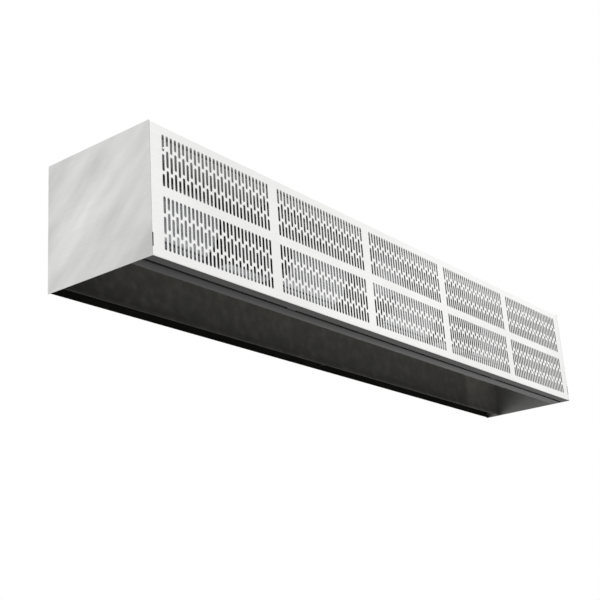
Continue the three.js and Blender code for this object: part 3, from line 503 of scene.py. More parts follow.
def softened_copy(node, radius, inner_shade=None):
    """A CAD solid's merged copy with rounded edges, which stands for it.

    The third argument is a darker finish, painted shade, for the faces that look towards
    the middle of the length."""
    bm = bmesh.new()
    bm.from_mesh(frame["nodes"][node].data)
    bmesh.ops.remove_doubles(bm, verts=bm.verts, dist=2e-6)
    bmesh.ops.dissolve_limit(bm, angle_limit=math.radians(1), verts=bm.verts,
                             edges=bm.edges)
    round_edges(bm, radius * MM)
    finishes = [NODE_FINISH[node]]
    if inner_shade:
        finishes.append(inner_shade)
        for face in bm.faces:
            # painted shade on the faces that look inward
            inward = -face.normal.x * face.calc_center_median().x > 0.5 * LENGTH / 2 * MM
            face.material_index = 1 if inward else 0
    return place_piece(f"{node}_finished", bm, finishes, NODE_BODY[node], node,
                       NODE_SLOT[node])


def add_box(bm, low, high):
    """A box between two corners."""
    made = bmesh.ops.create_cube(bm, size=1)["verts"]
    middle = (Vector(low) + Vector(high)) / 2
    bmesh.ops.scale(bm, vec=[abs(b - a) for a, b in zip(low, high)], verts=made)
    bmesh.ops.translate(bm, vec=middle, verts=made)


def add_strip(bm, path, x0, x1, thickness):
    """A sheet folded along a (y, z) path, drawn out along X, thickened to one side."""
    line = [bm.verts.new((x0, y, z)) for y, z in path]
    edges = [bm.edges.new(pair) for pair in zip(line, line[1:])]
    made = bmesh.ops.extrude_edge_only(bm, edges=edges)["geom"]
    moved = [v for v in made if isinstance(v, bmesh.types.BMVert)]
    bmesh.ops.translate(bm, vec=(x1 - x0, 0, 0), verts=moved)
    faces = [f for f in made if isinstance(f, bmesh.types.BMFace)]
    bmesh.ops.solidify(bm, geom=faces, thickness=thickness)


def fold_path(points, bend):
    """A folded line with an arc at each inner corner, just short of the bend's size."""
    radius = bend * FOLD_SHARE
    path = [Vector(points[0])]
    for before, corner, after in zip(points, points[1:], points[2:]):
        corner = Vector(corner)
        a, b = (Vector(before) - corner).normalized(), (Vector(after) - corner).normalized()
        reach = radius / math.tan(a.angle(b) / 2)
        start, end = corner + a * reach, corner + b * reach
        centre = corner + (a + b).normalized() * radius / math.sin(a.angle(b) / 2)
        for i in range(FOLD_STEPS + 1):
            arm = (start - centre).slerp(end - centre, i / FOLD_STEPS)
            path.append(centre + arm)
    return [tuple(p) for p in path + [Vector(points[-1])]]


# ---------------- intake panel


def slot_rows(first_is_short, top):
    """The ends of the three slots in one column, from the top down."""
    short = (HEIGHT - 2 * EDGE_BORDER - MIDDLE_BAR) / FIELD_ROWS - 2 * (LONG_SLOT + BRIDGE)
    spans = [short, LONG_SLOT, LONG_SLOT]
    for span in spans if first_is_short else spans[::-1]:
        yield top - span, top
        top -= span + BRIDGE


def slot_places():
    """The centre line and ends of every slot in the face."""
    width = (LENGTH - 2 * SIDE_BORDER - (FIELD_COLUMNS - 1) * UPRIGHT_BAR) / FIELD_COLUMNS
    height = (HEIGHT - 2 * EDGE_BORDER - MIDDLE_BAR) / FIELD_ROWS
    count = int((width - SLOT_WIDTH) / SLOT_PITCH) + 1
    first = (width - (count - 1) * SLOT_PITCH) / 2
    for column in range(FIELD_COLUMNS):
        left = -LENGTH / 2 + SIDE_BORDER + column * (width + UPRIGHT_BAR)
        for row in range(FIELD_ROWS):
            top = TOP - EDGE_BORDER - row * (height + MIDDLE_BAR)
            for i in range(count):
                for z0, z1 in slot_rows(i % 2 == 1, top):
                    yield left + first + i * SLOT_PITCH, z0, z1


def mesh_of(curve):
    """A curve's surface as a mesh."""
    holder = linked(curve.name, curve)
    bpy.context.view_layer.update()
    mesh = bpy.data.meshes.new_from_object(
        holder.evaluated_get(bpy.context.evaluated_depsgraph_get()))
    bpy.data.objects.remove(holder)
    return mesh


def add_spline(curve, points):
    """A closed outline added to a flat curve."""
    spline = curve.splines.new("POLY")
    spline.points.add(len(points) - 1)
    for point, (x, z) in zip(spline.points, points):
        point.co = (x, z, 0, 1)
    spline.use_cyclic_u = True


def slot_outline(x, z0, z1, steps=4):
    """A round-ended slot, taken clockwise so that it fills as a hole."""
    r = SLOT_WIDTH / 2
    points = []
    for centre, start in ((z1 - r, math.pi), (z0 + r, 0.0)):
        for i in range(steps + 1):
            turn = start - math.pi * i / steps
            points.append((x + r * math.cos(turn), centre + r * math.sin(turn)))
    return points


def pierced_plate(outline, holes, thickness, place, bevel=0.2):
    """A flat plate with holes, its edges eased, as a mesh moved to its place."""
    curve = bpy.data.curves.new("plate", "CURVE")
    curve.dimensions = "2D"
    curve.fill_mode = "BOTH"
    curve.extrude = thickness / 2 - bevel
    curve.bevel_depth = bevel
    curve.offset = -bevel
    curve.bevel_resolution = 0
    for points in [outline, *holes]:
        add_spline(curve, points)
    mesh = mesh_of(curve)
    mesh.transform(place)
    return mesh


def upright(y):
    """A plate's place when it stands facing the front at a depth."""
    return Matrix.Translation((0, y, 0)) @ Matrix.Rotation(math.pi / 2, 4, "X")


def across(x):
    """A (y, z) outline's place when it stands across the length at a place on X."""
    return Matrix(((0, 0, 1, x), (1, 0, 0, 0), (0, 1, 0, 0), (0, 0, 0, 1)))


def ring_of(x, y, radius, count=24):
    """A round hole's points, taken clockwise."""
    return [(x + radius * math.cos(-2 * math.pi * i / count),
             y + radius * math.sin(-2 * math.pi * i / count)) for i in range(count)]


def take_in(bm, mesh):
    """A mesh's faces added to a bmesh, and their vertices merged."""
    bm.from_mesh(mesh)
    bpy.data.meshes.remove(mesh)
    bmesh.ops.remove_doubles(bm, verts=bm.verts, dist=0.0005)


def face_outline(low, high):
    """The face's edge with its two notches."""
    edge, notch = BETWEEN_ENDS, BETWEEN_ENDS - NOTCH_WIDTH
    z0, z1 = BOTTOM + NOTCH_LIFT, BOTTOM + NOTCH_LIFT + NOTCH_HEIGHT
    return [(-edge, low), (edge, low), (edge, z0), (notch, z0), (notch, z1), (edge, z1),
            (edge, high), (-edge, high), (-edge, z1), (-notch, z1), (-notch, z0),
            (-edge, z0)]


def intake_panel():
    """The hinged front: pierced face, folded edges and hinge lugs."""
    bend = FOLD_RADIUS + FACE_THICKNESS
    bm = bmesh.new()
    slots = [slot_outline(x, a, b) for x, a, b in slot_places()]
    take_in(bm, pierced_plate(face_outline(BOTTOM + bend, TOP - bend), slots,
                              FACE_THICKNESS, upright(FRONT + FACE_THICKNESS / 2), 0.12))
    for sign, reach in ((-1, PANEL_RETURN), (1, PANEL_TOP_RETURN)):
        path = fold_path([(FRONT, sign * (TOP - bend)), (FRONT, sign * TOP),
                          (FRONT + reach, sign * TOP)], bend)
        add_strip(bm, path, -BETWEEN_ENDS, BETWEEN_ENDS, sign * FACE_THICKNESS)
    for side in (-1, 1):
        x0, x1 = sorted((side * LUG_X, side * (LUG_X + LUG_SHEET)))
        add_box(bm, (x0, FRONT + FACE_THICKNESS, HINGE_Z - LUG_DROP),
                (x1, HINGE_Y + LUG_BACK, TOP - FACE_THICKNESS))
    set_out(bm)
    for face in bm.faces:
        centre = face.calc_center_median()
        inside = abs(centre.x) < FIELDS_X and abs(centre.z) < FIELDS_Z
        # painted shade: the panel's bottom return takes the darkened rail sheet
        if centre.z < BOTTOM + 1.5 and centre.y > FRONT + 1.5:
            face.material_index = 1
        elif inside and abs(face.normal.y) < 0.2 and centre.y < FRONT + FACE_THICKNESS:
            face.material_index = 2
    place_piece("intake_panel_pierced", scaled(bm), [FACE_SHEET, RAIL_PAINTED_SHADE, CUT_EDGE],
                "intake_panel", "intake_panel", "polished_stainless", smooth=25)


def panel_gasket():
    """A foam strip behind the face along its upper edge, between the hinge pins."""
    bm = bmesh.new()
    add_box(bm, (-FOAM_REACH, FRONT + FACE_THICKNESS + 0.05, TOP - FOAM_BOTTOM),
            (FOAM_REACH, FRONT + FACE_THICKNESS + FOAM_DEPTH, TOP - FOAM_TOP))
    round_edges(bm, 1.2, 3)
    place_piece("panel_foam_strips", scaled(bm), RUBBER, "intake_panel", slot="rubber")


intake_panel()
panel_gasket()

# ---------------- casing

# The end panels' inner faces get a darker finish as painted shade.
for node in ("left_end_panel", "right_end_panel"):
    softened_copy(node, 0.5, END_PAINTED_SHADE)
for node, radius in {
        "bottom_rail": 0.5, "nozzle_plate": 0.4, "blower_deck": 0.35,
        "electrical_box": 0.35, "electrical_cover": 0.4,
        "motor_cradle_left": 0.6, "motor_cradle_right": 0.6,
        "vane_bracket_left": 0.5, "vane_bracket_centre": 0.5, "vane_bracket_right": 0.5,
        "panel_clip_left": 0.2, "panel_clip_right": 0.2}.items():
    softened_copy(node, radius)


def add_turned(bm, profile, steps=40):
    """A profile of (x, radius) points turned about the X axis. Returns its vertices."""
    line = [bm.verts.new((x, radius, 0)) for x, radius in profile]
    edges = [bm.edges.new(pair) for pair in zip(line, line[1:])]
    before = set(bm.verts) - set(line)
    bmesh.ops.spin(bm, geom=line + edges, cent=(0, 0, 0), axis=(1, 0, 0),
                   angle=2 * math.pi, steps=steps, use_merge=True)
    made = [v for v in bm.verts if v not in before]
    bmesh.ops.remove_doubles(bm, verts=made, dist=0.002)
    return [v for v in bm.verts if v not in before]


def turned_piece(name, profile, centre, finish, node, axis="X", steps=40):
    """A CAD node's round part made anew on one axis, with its true curve."""
    bm = bmesh.new()
    add_turned(bm, profile, steps)
    set_out(bm)
    turn = {"X": Matrix(), "Y": Matrix.Rotation(math.pi / 2, 4, "Z"),
            "Z": Matrix.Rotation(-math.pi / 2, 4, "Y")}[axis]
    bmesh.ops.transform(bm, matrix=Matrix.Translation(centre) @ turn, verts=bm.verts)
    return place_piece(name, scaled(bm), finish, NODE_BODY[node], node, NODE_SLOT[node],
                       smooth=30)


def add_screws(bm, places, outward, radius):
    """Hex washer-head screws, each on a surface point and facing outward."""
    turn = Vector(outward).to_track_quat("Z", "Y").to_matrix().to_4x4()
    washer, head = (24, radius * 1.45, 0.86, 0, 1.0), (6, radius, 0.95, 1.0, 4.0)
    for place in places:
        seat = Matrix.Translation(place) @ turn
        for sides, wide, taper, low, high in (washer, head):
            made = bmesh.ops.create_cone(
                bm, cap_ends=True, segments=sides, radius1=wide, radius2=wide * taper,
                depth=high - low,
                matrix=seat @ Matrix.Translation((0, 0, (low + high) / 2)))
            rim = [e for v in made["verts"] for e in v.link_edges
                   if e.calc_face_angle(0) > 0.9]
            bmesh.ops.bevel(bm, geom=list(set(rim)), offset=0.3, offset_type="OFFSET",
                            affect="EDGES", segments=1, profile=0.5, material=-1)


def screw_set(name, rows, radius):
    """Screws in several places and directions as one piece."""
    bm = bmesh.new()
    for places, outward in rows:
        add_screws(bm, places, outward, radius)
    place_piece(name, scaled(bm), PIN_STEEL, "root", slot="pin_steel")


def top_panel():
    """The top sheet with its round holes and folded front edge."""
    bm = bmesh.new()
    holes = [ring_of(0, BUSHING_Y, BUSHING_HOLE, 32)]
    for x in (-HANGER_X, HANGER_X):
        holes += [ring_of(x, y, HANGER_RADIUS) for y in HANGER_Y]
    fold = TOP_FRONT + SHEET_BEND
    outline = [(-BETWEEN_ENDS, 0), (-BETWEEN_ENDS, fold), (BETWEEN_ENDS, fold),
               (BETWEEN_ENDS, 0)]
    take_in(bm, pierced_plate(outline, holes, SHEET,
                              Matrix.Translation((0, 0, TOP - SHEET / 2))))
    path = fold_path([(TOP_FRONT, TOP - 15), (TOP_FRONT, TOP), (fold, TOP)], SHEET_BEND)
    add_strip(bm, path, -CORNER_X, CORNER_X, -SHEET)
    for side in (-1, 1):
        x0, x1 = sorted((side * CORNER_X, side * BETWEEN_ENDS))
        add_box(bm, (x0, TOP_FRONT, TOP - SHEET), (x1, fold + 0.2, TOP))
    set_out(bm)
    for face in bm.faces:
        face.material_index = 1 if face.normal.z < -0.5 else 0
    place_piece("top_panel_sheet", scaled(bm), [CASE_SHEET, MILL_SHEET], "root",
                "top_panel", "brushed_stainless")


def keyhole(x, z):
    """A screw keyhole's outline, taken clockwise."""
    entry, neck = KEYHOLE_ENTRY, KEYHOLE_NECK
    start = math.acos(neck / entry)
    points = []
    for i in range(15):
        turn = start - (math.pi + 2 * start) * i / 14
        points.append((x + entry * math.cos(turn), z + entry * math.sin(turn)))
    for i in range(9):
        turn = math.pi - math.pi * i / 8
        points.append((x + neck * math.cos(turn),
                       z + KEYHOLE_RISE + neck * math.sin(turn)))
    return points


def rear_panel():
    """The wall sheet with its keyholes and lower hem."""
    bm = bmesh.new()
    holes = [keyhole(share * LENGTH, TOP - KEYHOLE_DROP) for share in KEYHOLE_SHARES]
    lower, upper = BOTTOM + SHEET_BEND, TOP - SHEET - SEAT
    outline = [(-BETWEEN_ENDS, lower), (BETWEEN_ENDS, lower),
               (BETWEEN_ENDS, upper), (-BETWEEN_ENDS, upper)]
    take_in(bm, pierced_plate(outline, holes, SHEET, upright(-SHEET / 2)))
    path = fold_path([(0, lower), (0, BOTTOM), (-REAR_HEM, BOTTOM)], SHEET_BEND)
    add_strip(bm, path, -BETWEEN_ENDS, BETWEEN_ENDS, SHEET)
    # The sheet is cut at the deck's top so that the painted shade below it has faces of its
    # own.
    bmesh.ops.bisect_plane(bm, geom=bm.verts[:] + bm.edges[:] + bm.faces[:], dist=0.001,
                           plane_co=(0, 0, DECK_TOP), plane_no=(0, 0, 1))
    set_out(bm)
    # painted shade: the hem's underside and the inner face below the deck are black
    for face in bm.faces:
        height = face.calc_center_median().z
        if height < BOTTOM + 2 or face.normal.y < -0.5 and height < DECK_TOP:
            face.material_index = 1
    place_piece("rear_panel_sheet", scaled(bm), [ZINC, SLOT_PAINTED_SHADE], "root", "rear_panel",
                "galvanised_steel")


top_panel()
rear_panel()


def casing_rivets():
    """Low blind rivets, each with its sunk middle, where the panels join."""
    bm = bmesh.new()
    sides = (-BETWEEN_ENDS + RIVET_INSET, BETWEEN_ENDS - RIVET_INSET)
    for outward, places in (((0, 0, 1), [(x, y, TOP) for x in sides for y in RIVET_Y]),
                            ((0, 1, 0), [(x, 0, z) for x in sides for z in RIVET_Z])):
        turn = Vector(outward).to_track_quat("X", "Z").to_matrix().to_4x4()
        for place in places:
            made = add_turned(bm, RIVET_PROFILE, 20)
            bmesh.ops.transform(bm, matrix=Matrix.Translation(place) @ turn, verts=made)
    set_out(bm)
    place_piece("casing_rivets", scaled(bm), PIN_STEEL, "root", slot="pin_steel")


casing_rivets()

# ---------------- blowers


def scroll_radius(turn):
    """The scroll's distance from the shaft, growing with the angle from its start."""
    return SCROLL_START + SCROLL_GROWTH * turn / (1.5 * math.pi)


def scroll_line(grow, steps=36):
    """The scroll's (y, z) line about the shaft, from the tongue round to the outlet."""
    tip = SCROLL_START + grow
    line = [(SCROLL_START * math.sin(TONGUE) - grow, -OUTLET_DROP),
            (SCROLL_START * math.sin(TONGUE) - grow, -tip * math.cos(TONGUE))]
    for i in range(steps + 1):
        turn = 1.5 * math.pi * i / steps
        radius = scroll_radius(turn) + grow
        line.append((-radius * math.sin(turn), -radius * math.cos(turn)))
    line.append((scroll_radius(1.5 * math.pi) + grow, -OUTLET_DROP))
    return line


def blower_housing(node, centre_x):
    """A scroll of sheet between two side plates with round inlets."""
    bm = bmesh.new()
    outline = scroll_line(THIN)
    for side in (-1, 1):
        place = across(side * (HOUSING_HALF + THIN / 2))
        take_in(bm, pierced_plate(outline[::-1], [ring_of(0, 0, INLET_MOUTH + SEAT, 48)],
                                  THIN, place, 0.15))
    add_strip(bm, scroll_line(0.02), -HOUSING_HALF, HOUSING_HALF, -THIN)
    add_box(bm, (-HOUSING_HALF, -30, -OUTLET_DROP), (HOUSING_HALF, 23, -OUTLET_DROP + THIN))
    set_out(bm, (centre_x, AXIS_Y, AXIS_Z))
    place_piece(f"{node}_scroll", scaled(bm), ZINC, "root", node, "galvanised_steel")


def inlet_ring(node, centre_x, out):
    """A bell mouth spun from sheet."""
    throat = INLET_MOUTH - 0.6
    mouth = [(0.0, INLET_FLANGE), (THIN, INLET_FLANGE), (THIN, throat)]
    for i in range(1, 9):
        turn = math.pi / 2 * i / 8
        mouth.append((THIN - INLET_DEPTH * math.sin(turn),
                      INLET_RADIUS + (throat - INLET_RADIUS) * math.cos(turn)))
    back = [(x - 0.1, r + 1.0) for x, r in mouth[:2:-1]]
    profile = mouth + back + [(0.0, INLET_MOUTH + 0.1), (0.0, INLET_FLANGE)]
    turned_piece(f"{node}_bell", [(out * x, r) for x, r in profile],
                 (centre_x + out * (HOUSING_HALF + THIN + SEAT), AXIS_Y, AXIS_Z), ZINC,
                 node, steps=48)


def add_copies_round(bm, verts, count):
    """Copies of a blade set evenly round the X axis."""
    geometry = verts + list({e for v in verts for e in v.link_edges}) + list(
        {f for v in verts for f in v.link_faces})
    for i in range(1, count):
        made = bmesh.ops.duplicate(bm, geom=geometry)["geom"]
        bmesh.ops.rotate(bm, cent=(0, 0, 0), verts=[
            v for v in made if isinstance(v, bmesh.types.BMVert)],
            matrix=Matrix.Rotation(2 * math.pi * i / count, 3, "X"))


def add_blade(bm, half):
    """One forward-curved blade between the wheel's rings."""
    before = set(bm.verts)
    path = []
    for i in range(6):
        share = i / 5
        radius = WHEEL_RADIUS - BLADE_DEPTH + 0.6 + (BLADE_DEPTH - 0.4) * share
        lean = 0.02 - 0.16 * share ** 2.0
        path.append((radius * math.cos(lean), radius * math.sin(lean)))
    add_strip(bm, path, -half, half, BLADE_SHEET)
    return [v for v in bm.verts if v not in before]


def blower_wheel(node, centre_x):
    """A squirrel-cage wheel: curved blades, two rims, a dished disc and a hub."""
    half = WHEEL_WIDTH / 2
    bm = bmesh.new()
    add_copies_round(bm, add_blade(bm, half - 0.6), BLADES)
    rim, inner = WHEEL_RADIUS + WHEEL_RIM, WHEEL_RADIUS - BLADE_DEPTH
    for side in (-1, 1):
        x0, x1 = side * (half - RIM_WIDTH), side * half
        add_turned(bm, [(x0, rim - 1.2), (x0, rim - 0.3), (x0 + side * 0.5, rim),
                        (x1 - side * 0.6, rim), (x1, rim - 0.6), (x1, inner + 0.5),
                        (x1 - side * 0.5, inner), (x1 - side * 1.4, inner),
                        (x1 - side * 1.4, rim - 1.2), (x0, rim - 1.2)], 48)
    add_turned(bm, [(-1, HUB_RADIUS - 1), (-1, 24), (1.6, 30), (1.6, 36), (-1, 41.5),
                    (0.2, 42), (2.8, 36.6), (2.8, 29.6), (0.4, 23.6), (0.4, HUB_RADIUS - 1),
                    (-1, HUB_RADIUS - 1)], 48)
    edge = HUB_LENGTH / 2
    bore = SHAFT_RADIUS + 0.1
    add_turned(bm, [(-edge, bore), (-edge, HUB_RADIUS - 1.2), (-edge + 1.2, HUB_RADIUS),
                    (edge - 1.2, HUB_RADIUS), (edge, HUB_RADIUS - 1.2), (edge, bore),
                    (-edge, bore)], 32)
    set_out(bm, (centre_x, AXIS_Y, AXIS_Z))
    place_piece(f"{node}_cage", scaled(bm), WHEEL_ZINC, NODE_BODY[node], node,
                "wheel_steel")


def motor(node, centre_x):
    """A shell with end bells, bosses and four bolts at each end."""
    half = MOTOR_LENGTH / 2
    bm = bmesh.new()
    bore = SHAFT_RADIUS + 0.4
    side = [(half + BOSS_LENGTH, bore), (half + BOSS_LENGTH, BOSS_RADIUS - 1),
            (half + BOSS_LENGTH - 1, BOSS_RADIUS), (half + 1.5, BOSS_RADIUS),
            (half, BOSS_RADIUS + 1.5), (half, 29), (half - 1.5, 32.5),
            (half - BELL + 4, MOTOR_RADIUS - 2.2), (half - BELL, MOTOR_RADIUS - 0.6),
            (half - BELL - 1, MOTOR_RADIUS), (half - BELL - 4, MOTOR_RADIUS),
            (half - BELL - 4.5, MOTOR_RADIUS - 1)]
    shell = [(-x, r) for x, r in side] + side[::-1] + [(-half - BOSS_LENGTH, bore)]
    add_turned(bm, shell, 64)
    set_out(bm)
    for i in range(4):
        turn = math.pi / 4 + i * math.pi / 2
        for way in (-1, 1):
            place = (way * (half - 1.2), MOTOR_BOLT_CIRCLE * math.cos(turn),
                     MOTOR_BOLT_CIRCLE * math.sin(turn))
            add_screws(bm, [place], (way, 0, 0), 2.6)
    bmesh.ops.translate(bm, vec=(centre_x, AXIS_Y, AXIS_Z), verts=bm.verts)
    place_piece(f"{node}_shell", scaled(bm), MOTOR_PAINT, "root", node, "motor_paint")


def blower_set(label, side):
    """One motor with its shaft, rubber rings, two wheels and two housings."""
    middle = side * SET_OFFSET
    shaft = [(-SHAFT_REACH, 0), (-SHAFT_REACH, SHAFT_RADIUS - 0.8),
             (-SHAFT_REACH + 0.8, SHAFT_RADIUS), (SHAFT_REACH - 0.8, SHAFT_RADIUS),
             (SHAFT_REACH, SHAFT_RADIUS - 0.8), (SHAFT_REACH, 0)]
    turned_piece(f"shaft_{label}_turned", shaft, (middle, AXIS_Y, AXIS_Z), PIN_STEEL,
                 f"shaft_{label}", steps=32)
    motor(f"motor_{label}", middle)
    for end, way in (("a", -1), ("b", 1)):
        place = middle + way * (MOTOR_LENGTH + BOSS_LENGTH) / 2
        turned_piece(f"motor_ring_{label}_{end}_moulded", RING_PROFILE,
                     (place, AXIS_Y, AXIS_Z), RUBBER, f"motor_ring_{label}_{end}")
        centre = middle + way * BLOWER_OFFSET
        blower_housing(f"blower_housing_{label}_{end}", centre)
        blower_wheel(f"blower_wheel_{label}_{end}", centre)
        inlet_ring(f"inlet_ring_{label}_{end}_inner", centre, -way)
        inlet_ring(f"inlet_ring_{label}_{end}_outer", centre, way)


for label, side in SIDES:
    blower_set(label, side)

# ---------------- vanes and hinge


def vane(label, side):
    """A smooth streamlined blade with a collar and a pin at each end."""
    bm = bmesh.new()
    upper = []
    for i in range(15):
        share = (i / 14) ** 1.6
        upper.append((1.3 * VANE_THICKNESS * math.sqrt(share) * (1 - share),
                      VANE_CHORD * (0.5 - share)))
    outline = upper + [(-y, z) for y, z in upper[-2:0:-1]]
    ends = sorted((side * VANE_INNER, side * VANE_OUTER))
    take_in(bm, pierced_plate(outline[::-1], [], ends[1] - ends[0],
                              across(sum(ends) / 2), 0.15))
    ease = 0.4
    for end, way in ((VANE_INNER, -1), (VANE_OUTER, 1)):
        face, tip = end - way * VANE_COLLAR_LENGTH, end + way * VANE_PIN_REACH
        profile = [(face, 0), (face, VANE_COLLAR - ease), (face + way * ease, VANE_COLLAR),
                   (end - way * ease, VANE_COLLAR), (end, VANE_COLLAR - ease),
                   (end, VANE_PIN), (tip - way * ease, VANE_PIN), (tip, VANE_PIN - ease),
                   (tip, 0)]
        add_turned(bm, [(side * x, r) for x, r in profile], 24)
    set_out(bm, (0, VANE_Y, VANE_Z))
    place_piece(f"vane_{label}_blade", scaled(bm), DARK_ANODISED, f"vane_{label}",
                f"vane_{label}", "dark_aluminium")


def hinge_pin(label, side):
    """A headed pin on the end panel for the intake panel's lug."""
    tip, head = HINGE_PIN_TIP, HINGE_PIN_HEAD
    profile = [(tip, 0), (tip, 2.4), (tip + 0.6, 3.0), (head, 3.0), (head, 3.8),
               (head + 0.4, 4.2), (BETWEEN_ENDS, 4.2), (BETWEEN_ENDS, 0)]
    turned_piece(f"hinge_pin_{label}_turned", [(side * x, r) for x, r in profile],
                 (0, HINGE_Y, HINGE_Z), PIN_STEEL, f"hinge_pin_{label}", steps=24)


for label, side in SIDES:
    vane(label, side)
    hinge_pin(label, side)

# ---------------- electrical parts


def bezier_points(start, first, second, end, count):
    """Points along a cubic curve, without its first."""
    points = []
    for i in range(1, count + 1):
        t = i / count
        points.append(start * (1 - t) ** 3 + first * 3 * t * (1 - t) ** 2
                      + second * 3 * t * t * (1 - t) + end * t ** 3)
    return points


def evenly(points, step):
    """The same route with points a fixed step apart."""
    route, carried = [points[0]], 0.0
    for before, after in zip(points, points[1:]):
        span = (after - before).length
        place = step - carried
        while place <= span:
            route.append(before.lerp(after, place / span))
            place += step
        carried = span - (place - step)
    return route + [points[-1]]


def conduit(label, side):
    """A ribbed sleeve from the electrical box to a motor, with a nut at each end."""
    arm = CONDUIT_ARM
    along, slope = Vector((side, 0, 0)), Vector((0, -1, 1)).normalized()
    start, out, wall = (Vector((side * x, CONDUIT_Y, CONDUIT_LOW))
                        for x in (CONDUIT_START, CONDUIT_OUT, BOX_SIDE))
    up, turn = (Vector((side * x, CONDUIT_Y, CONDUIT_HIGH))
                for x in (CONDUIT_UP, CONDUIT_TURN))
    shell = Vector((side * SET_OFFSET, AXIS_Y, AXIS_Z)) + slope * (MOTOR_RADIUS + 0.4)
    drop = shell + slope * arm
    route = [start, out] + bezier_points(out, out + along * arm, up - along * arm, up, 16)
    route += bezier_points(turn, turn + along * CONDUIT_BEND, drop + slope * arm, drop, 40)
    route = evenly(route + [shell], RIB_STEP)
    curve = bpy.data.curves.new("sleeve", "CURVE")
    curve.dimensions = "3D"
    curve.bevel_depth = CONDUIT_RADIUS
    curve.bevel_resolution = 3
    curve.use_fill_caps = True
    spline = curve.splines.new("POLY")
    spline.points.add(len(route) - 1)
    for i, (point, place) in enumerate(zip(spline.points, route)):
        point.co = (*place, 1)
        point.radius = 1.0 if i % 2 else RIB_VALLEY
    bm = bmesh.new()
    take_in(bm, mesh_of(curve))
    place_piece(f"conduit_{label}_ribbed", scaled(bm), SLEEVE, "root", f"conduit_{label}",
                "conduit_sleeve", smooth=60)
    nut = bmesh.new()
    for centre, outward in ((wall, along), (shell + slope * 0.4, slope)):
        turn_to = outward.to_track_quat("X", "Z").to_matrix().to_4x4()
        made = add_turned(nut, NUT_PROFILE, 32)
        bmesh.ops.transform(nut, matrix=Matrix.Translation(centre) @ turn_to, verts=made)
    set_out(nut)
    place_piece(f"conduit_{label}_nuts", scaled(nut), PIN_STEEL, "root", slot="pin_steel")


def capacitor(label, x):
    """A drawn can with a rolled rim and two tabs."""
    front, back, wide = CAPACITOR_FRONT, CAPACITOR_BACK, CAPACITOR_RADIUS
    turned_piece(f"capacitor_{label}_can", [
        (front, 0), (front, 11), (front - 1.0, 13.2), (front - 0.4, 14.8),
        (front + 1.2, wide), (front + 2.4, 14.2), (front + 3.6, wide), (back - 1, wide),
        (back, wide - 1), (back, 0)],
        (x, 0, CAPACITOR_Z), CAN, f"capacitor_{label}", "Y")
    bm = bmesh.new()
    for centre in (x - TAB_X, x + TAB_X):
        add_box(bm, (centre - TAB_HALF, front - TAB_REACH, CAPACITOR_Z - TAB_RISE),
                (centre + TAB_HALF, front + 0.5, CAPACITOR_Z + TAB_RISE))
    round_edges(bm, 0.2, 1)
    place_piece(f"capacitor_{label}_tabs", scaled(bm), PIN_STEEL, "root", slot="pin_steel")


def terminal_block():
    """The block's moulding with a screw in each cell."""
    softened_copy("terminal_block", 0.4)
    pitch = TERMINAL_WIDTH / TERMINAL_CELLS
    screws = [(-TERMINAL_WIDTH / 2 + pitch * (i + 0.5), TERMINAL_FACE, TERMINAL_Z)
              for i in range(TERMINAL_CELLS)]
    screw_set("terminal_screws", [(screws, (0, -1, 0))], 2.0)


def cable_bushing():
    """A rubber bushing with rounded lips round the cable hole."""
    turned_piece("cable_bushing_moulded", BUSHING_PROFILE, (0, BUSHING_Y, 0), RUBBER,
                 "cable_bushing", "Z")


for label, side in SIDES:
    conduit(label, side)
    capacitor(label, side * CAPACITOR_X)
terminal_block()
cable_bushing()
screw_set("cover_screws", [([(x, COVER_FACE, z) for x in COVER_SCREW_X
                             for z in COVER_SCREW_Z], (0, -1, 0))], 3.0)
screw_set("cradle_screws", [([(side * SET_OFFSET + x, y, CRADLE_TOP) for side in (-1, 1)
                              for x in CRADLE_SCREW_X for y in CRADLE_SCREW_Y],
                             (0, 0, 1))], 3.4)
screw_set("inlet_screws", [
    ([(side * SET_OFFSET + way * BLOWER_OFFSET + out * INLET_FACE,
       AXIS_Y + INLET_SCREW_CIRCLE * math.cos(math.radians(turn)),
       AXIS_Z + INLET_SCREW_CIRCLE * math.sin(math.radians(turn)))
      for side in (-1, 1) for way in (-1, 1) for turn in (45, 135, 225, 315)],
     (out, 0, 0)) for out in (-1, 1)], 1.7)

# ---------------- studio


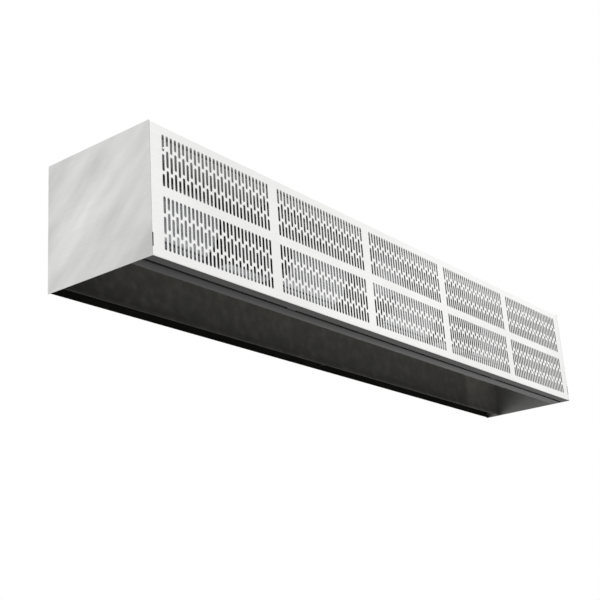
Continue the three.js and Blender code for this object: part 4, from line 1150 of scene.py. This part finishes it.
def seen_ray(tree):
    """One where the eye, a polished face or clear glass looks, else nought."""
    ray = add(tree, "LightPath").outputs
    seen = maths(tree, "MAXIMUM", ray["Is Camera Ray"], ray["Is Glossy Ray"])
    return maths(tree, "MAXIMUM", seen, ray["Is Transmission Ray"])


def studio():
    """A pale floor that fades into a white surround, and soft lamps."""
    bm = bmesh.new()
    bmesh.ops.create_grid(bm, x_segments=1, y_segments=1, size=FLOOR_SIZE)
    bmesh.ops.translate(bm, vec=(0, 0, FLOOR_Z), verts=bm.verts)
    mesh = bpy.data.meshes.new("floor")
    bm.to_mesh(mesh)
    bm.free()
    floor = linked("floor", mesh)
    material = bpy.data.materials.new("pale floor")
    material.use_nodes = True
    tree = material.node_tree
    shader = tree.nodes["Principled BSDF"]
    shader.inputs["Base Color"].default_value = (0.88, 0.88, 0.87, 1)
    shader.inputs["Roughness"].default_value = 0.9
    shader.inputs["Specular IOR Level"].default_value = 0.0
    far = add(tree, "VectorMath", {0: add(tree, "TexCoord").outputs["Object"]},
              operation="LENGTH").outputs["Value"]
    fade = ramp(tree, far, FADE_NEAR, FADE_FAR, 0.45)
    white = add(tree, "Emission", {"Strength": 1.0})
    both = add(tree, "MixShader", {0: maths(tree, "MULTIPLY", fade, seen_ray(tree))})
    tree.links.new(shader.outputs["BSDF"], both.inputs[1])
    tree.links.new(white.outputs["Emission"], both.inputs[2])
    tree.links.new(both.outputs["Shader"], tree.nodes["Material Output"].inputs["Surface"])
    mesh.materials.append(material)
    for name, place, aim, size, power in LAMPS:
        data = bpy.data.lights.new(name, "AREA")
        data.shape = "SQUARE"
        data.size = size
        data.energy = power
        lamp = linked(name, data)
        lamp.location = place
        lamp.rotation_mode = "QUATERNION"
        lamp.rotation_quaternion = (Vector(aim) - Vector(place)).to_track_quat("-Z", "Y")
    world = bpy.data.worlds.new("white surround")
    world.use_nodes = True
    tree = world.node_tree
    back = tree.nodes["Background"]
    strength = ramp(tree, seen_ray(tree), 0.0, 1.0, ROOM_LIGHT)
    back.inputs["Color"].default_value = (1, 1, 1, 1)
    tree.links.new(strength, back.inputs["Strength"])
    bpy.context.scene.world = world
    bpy.context.scene.view_settings.view_transform = "Standard"


studio()
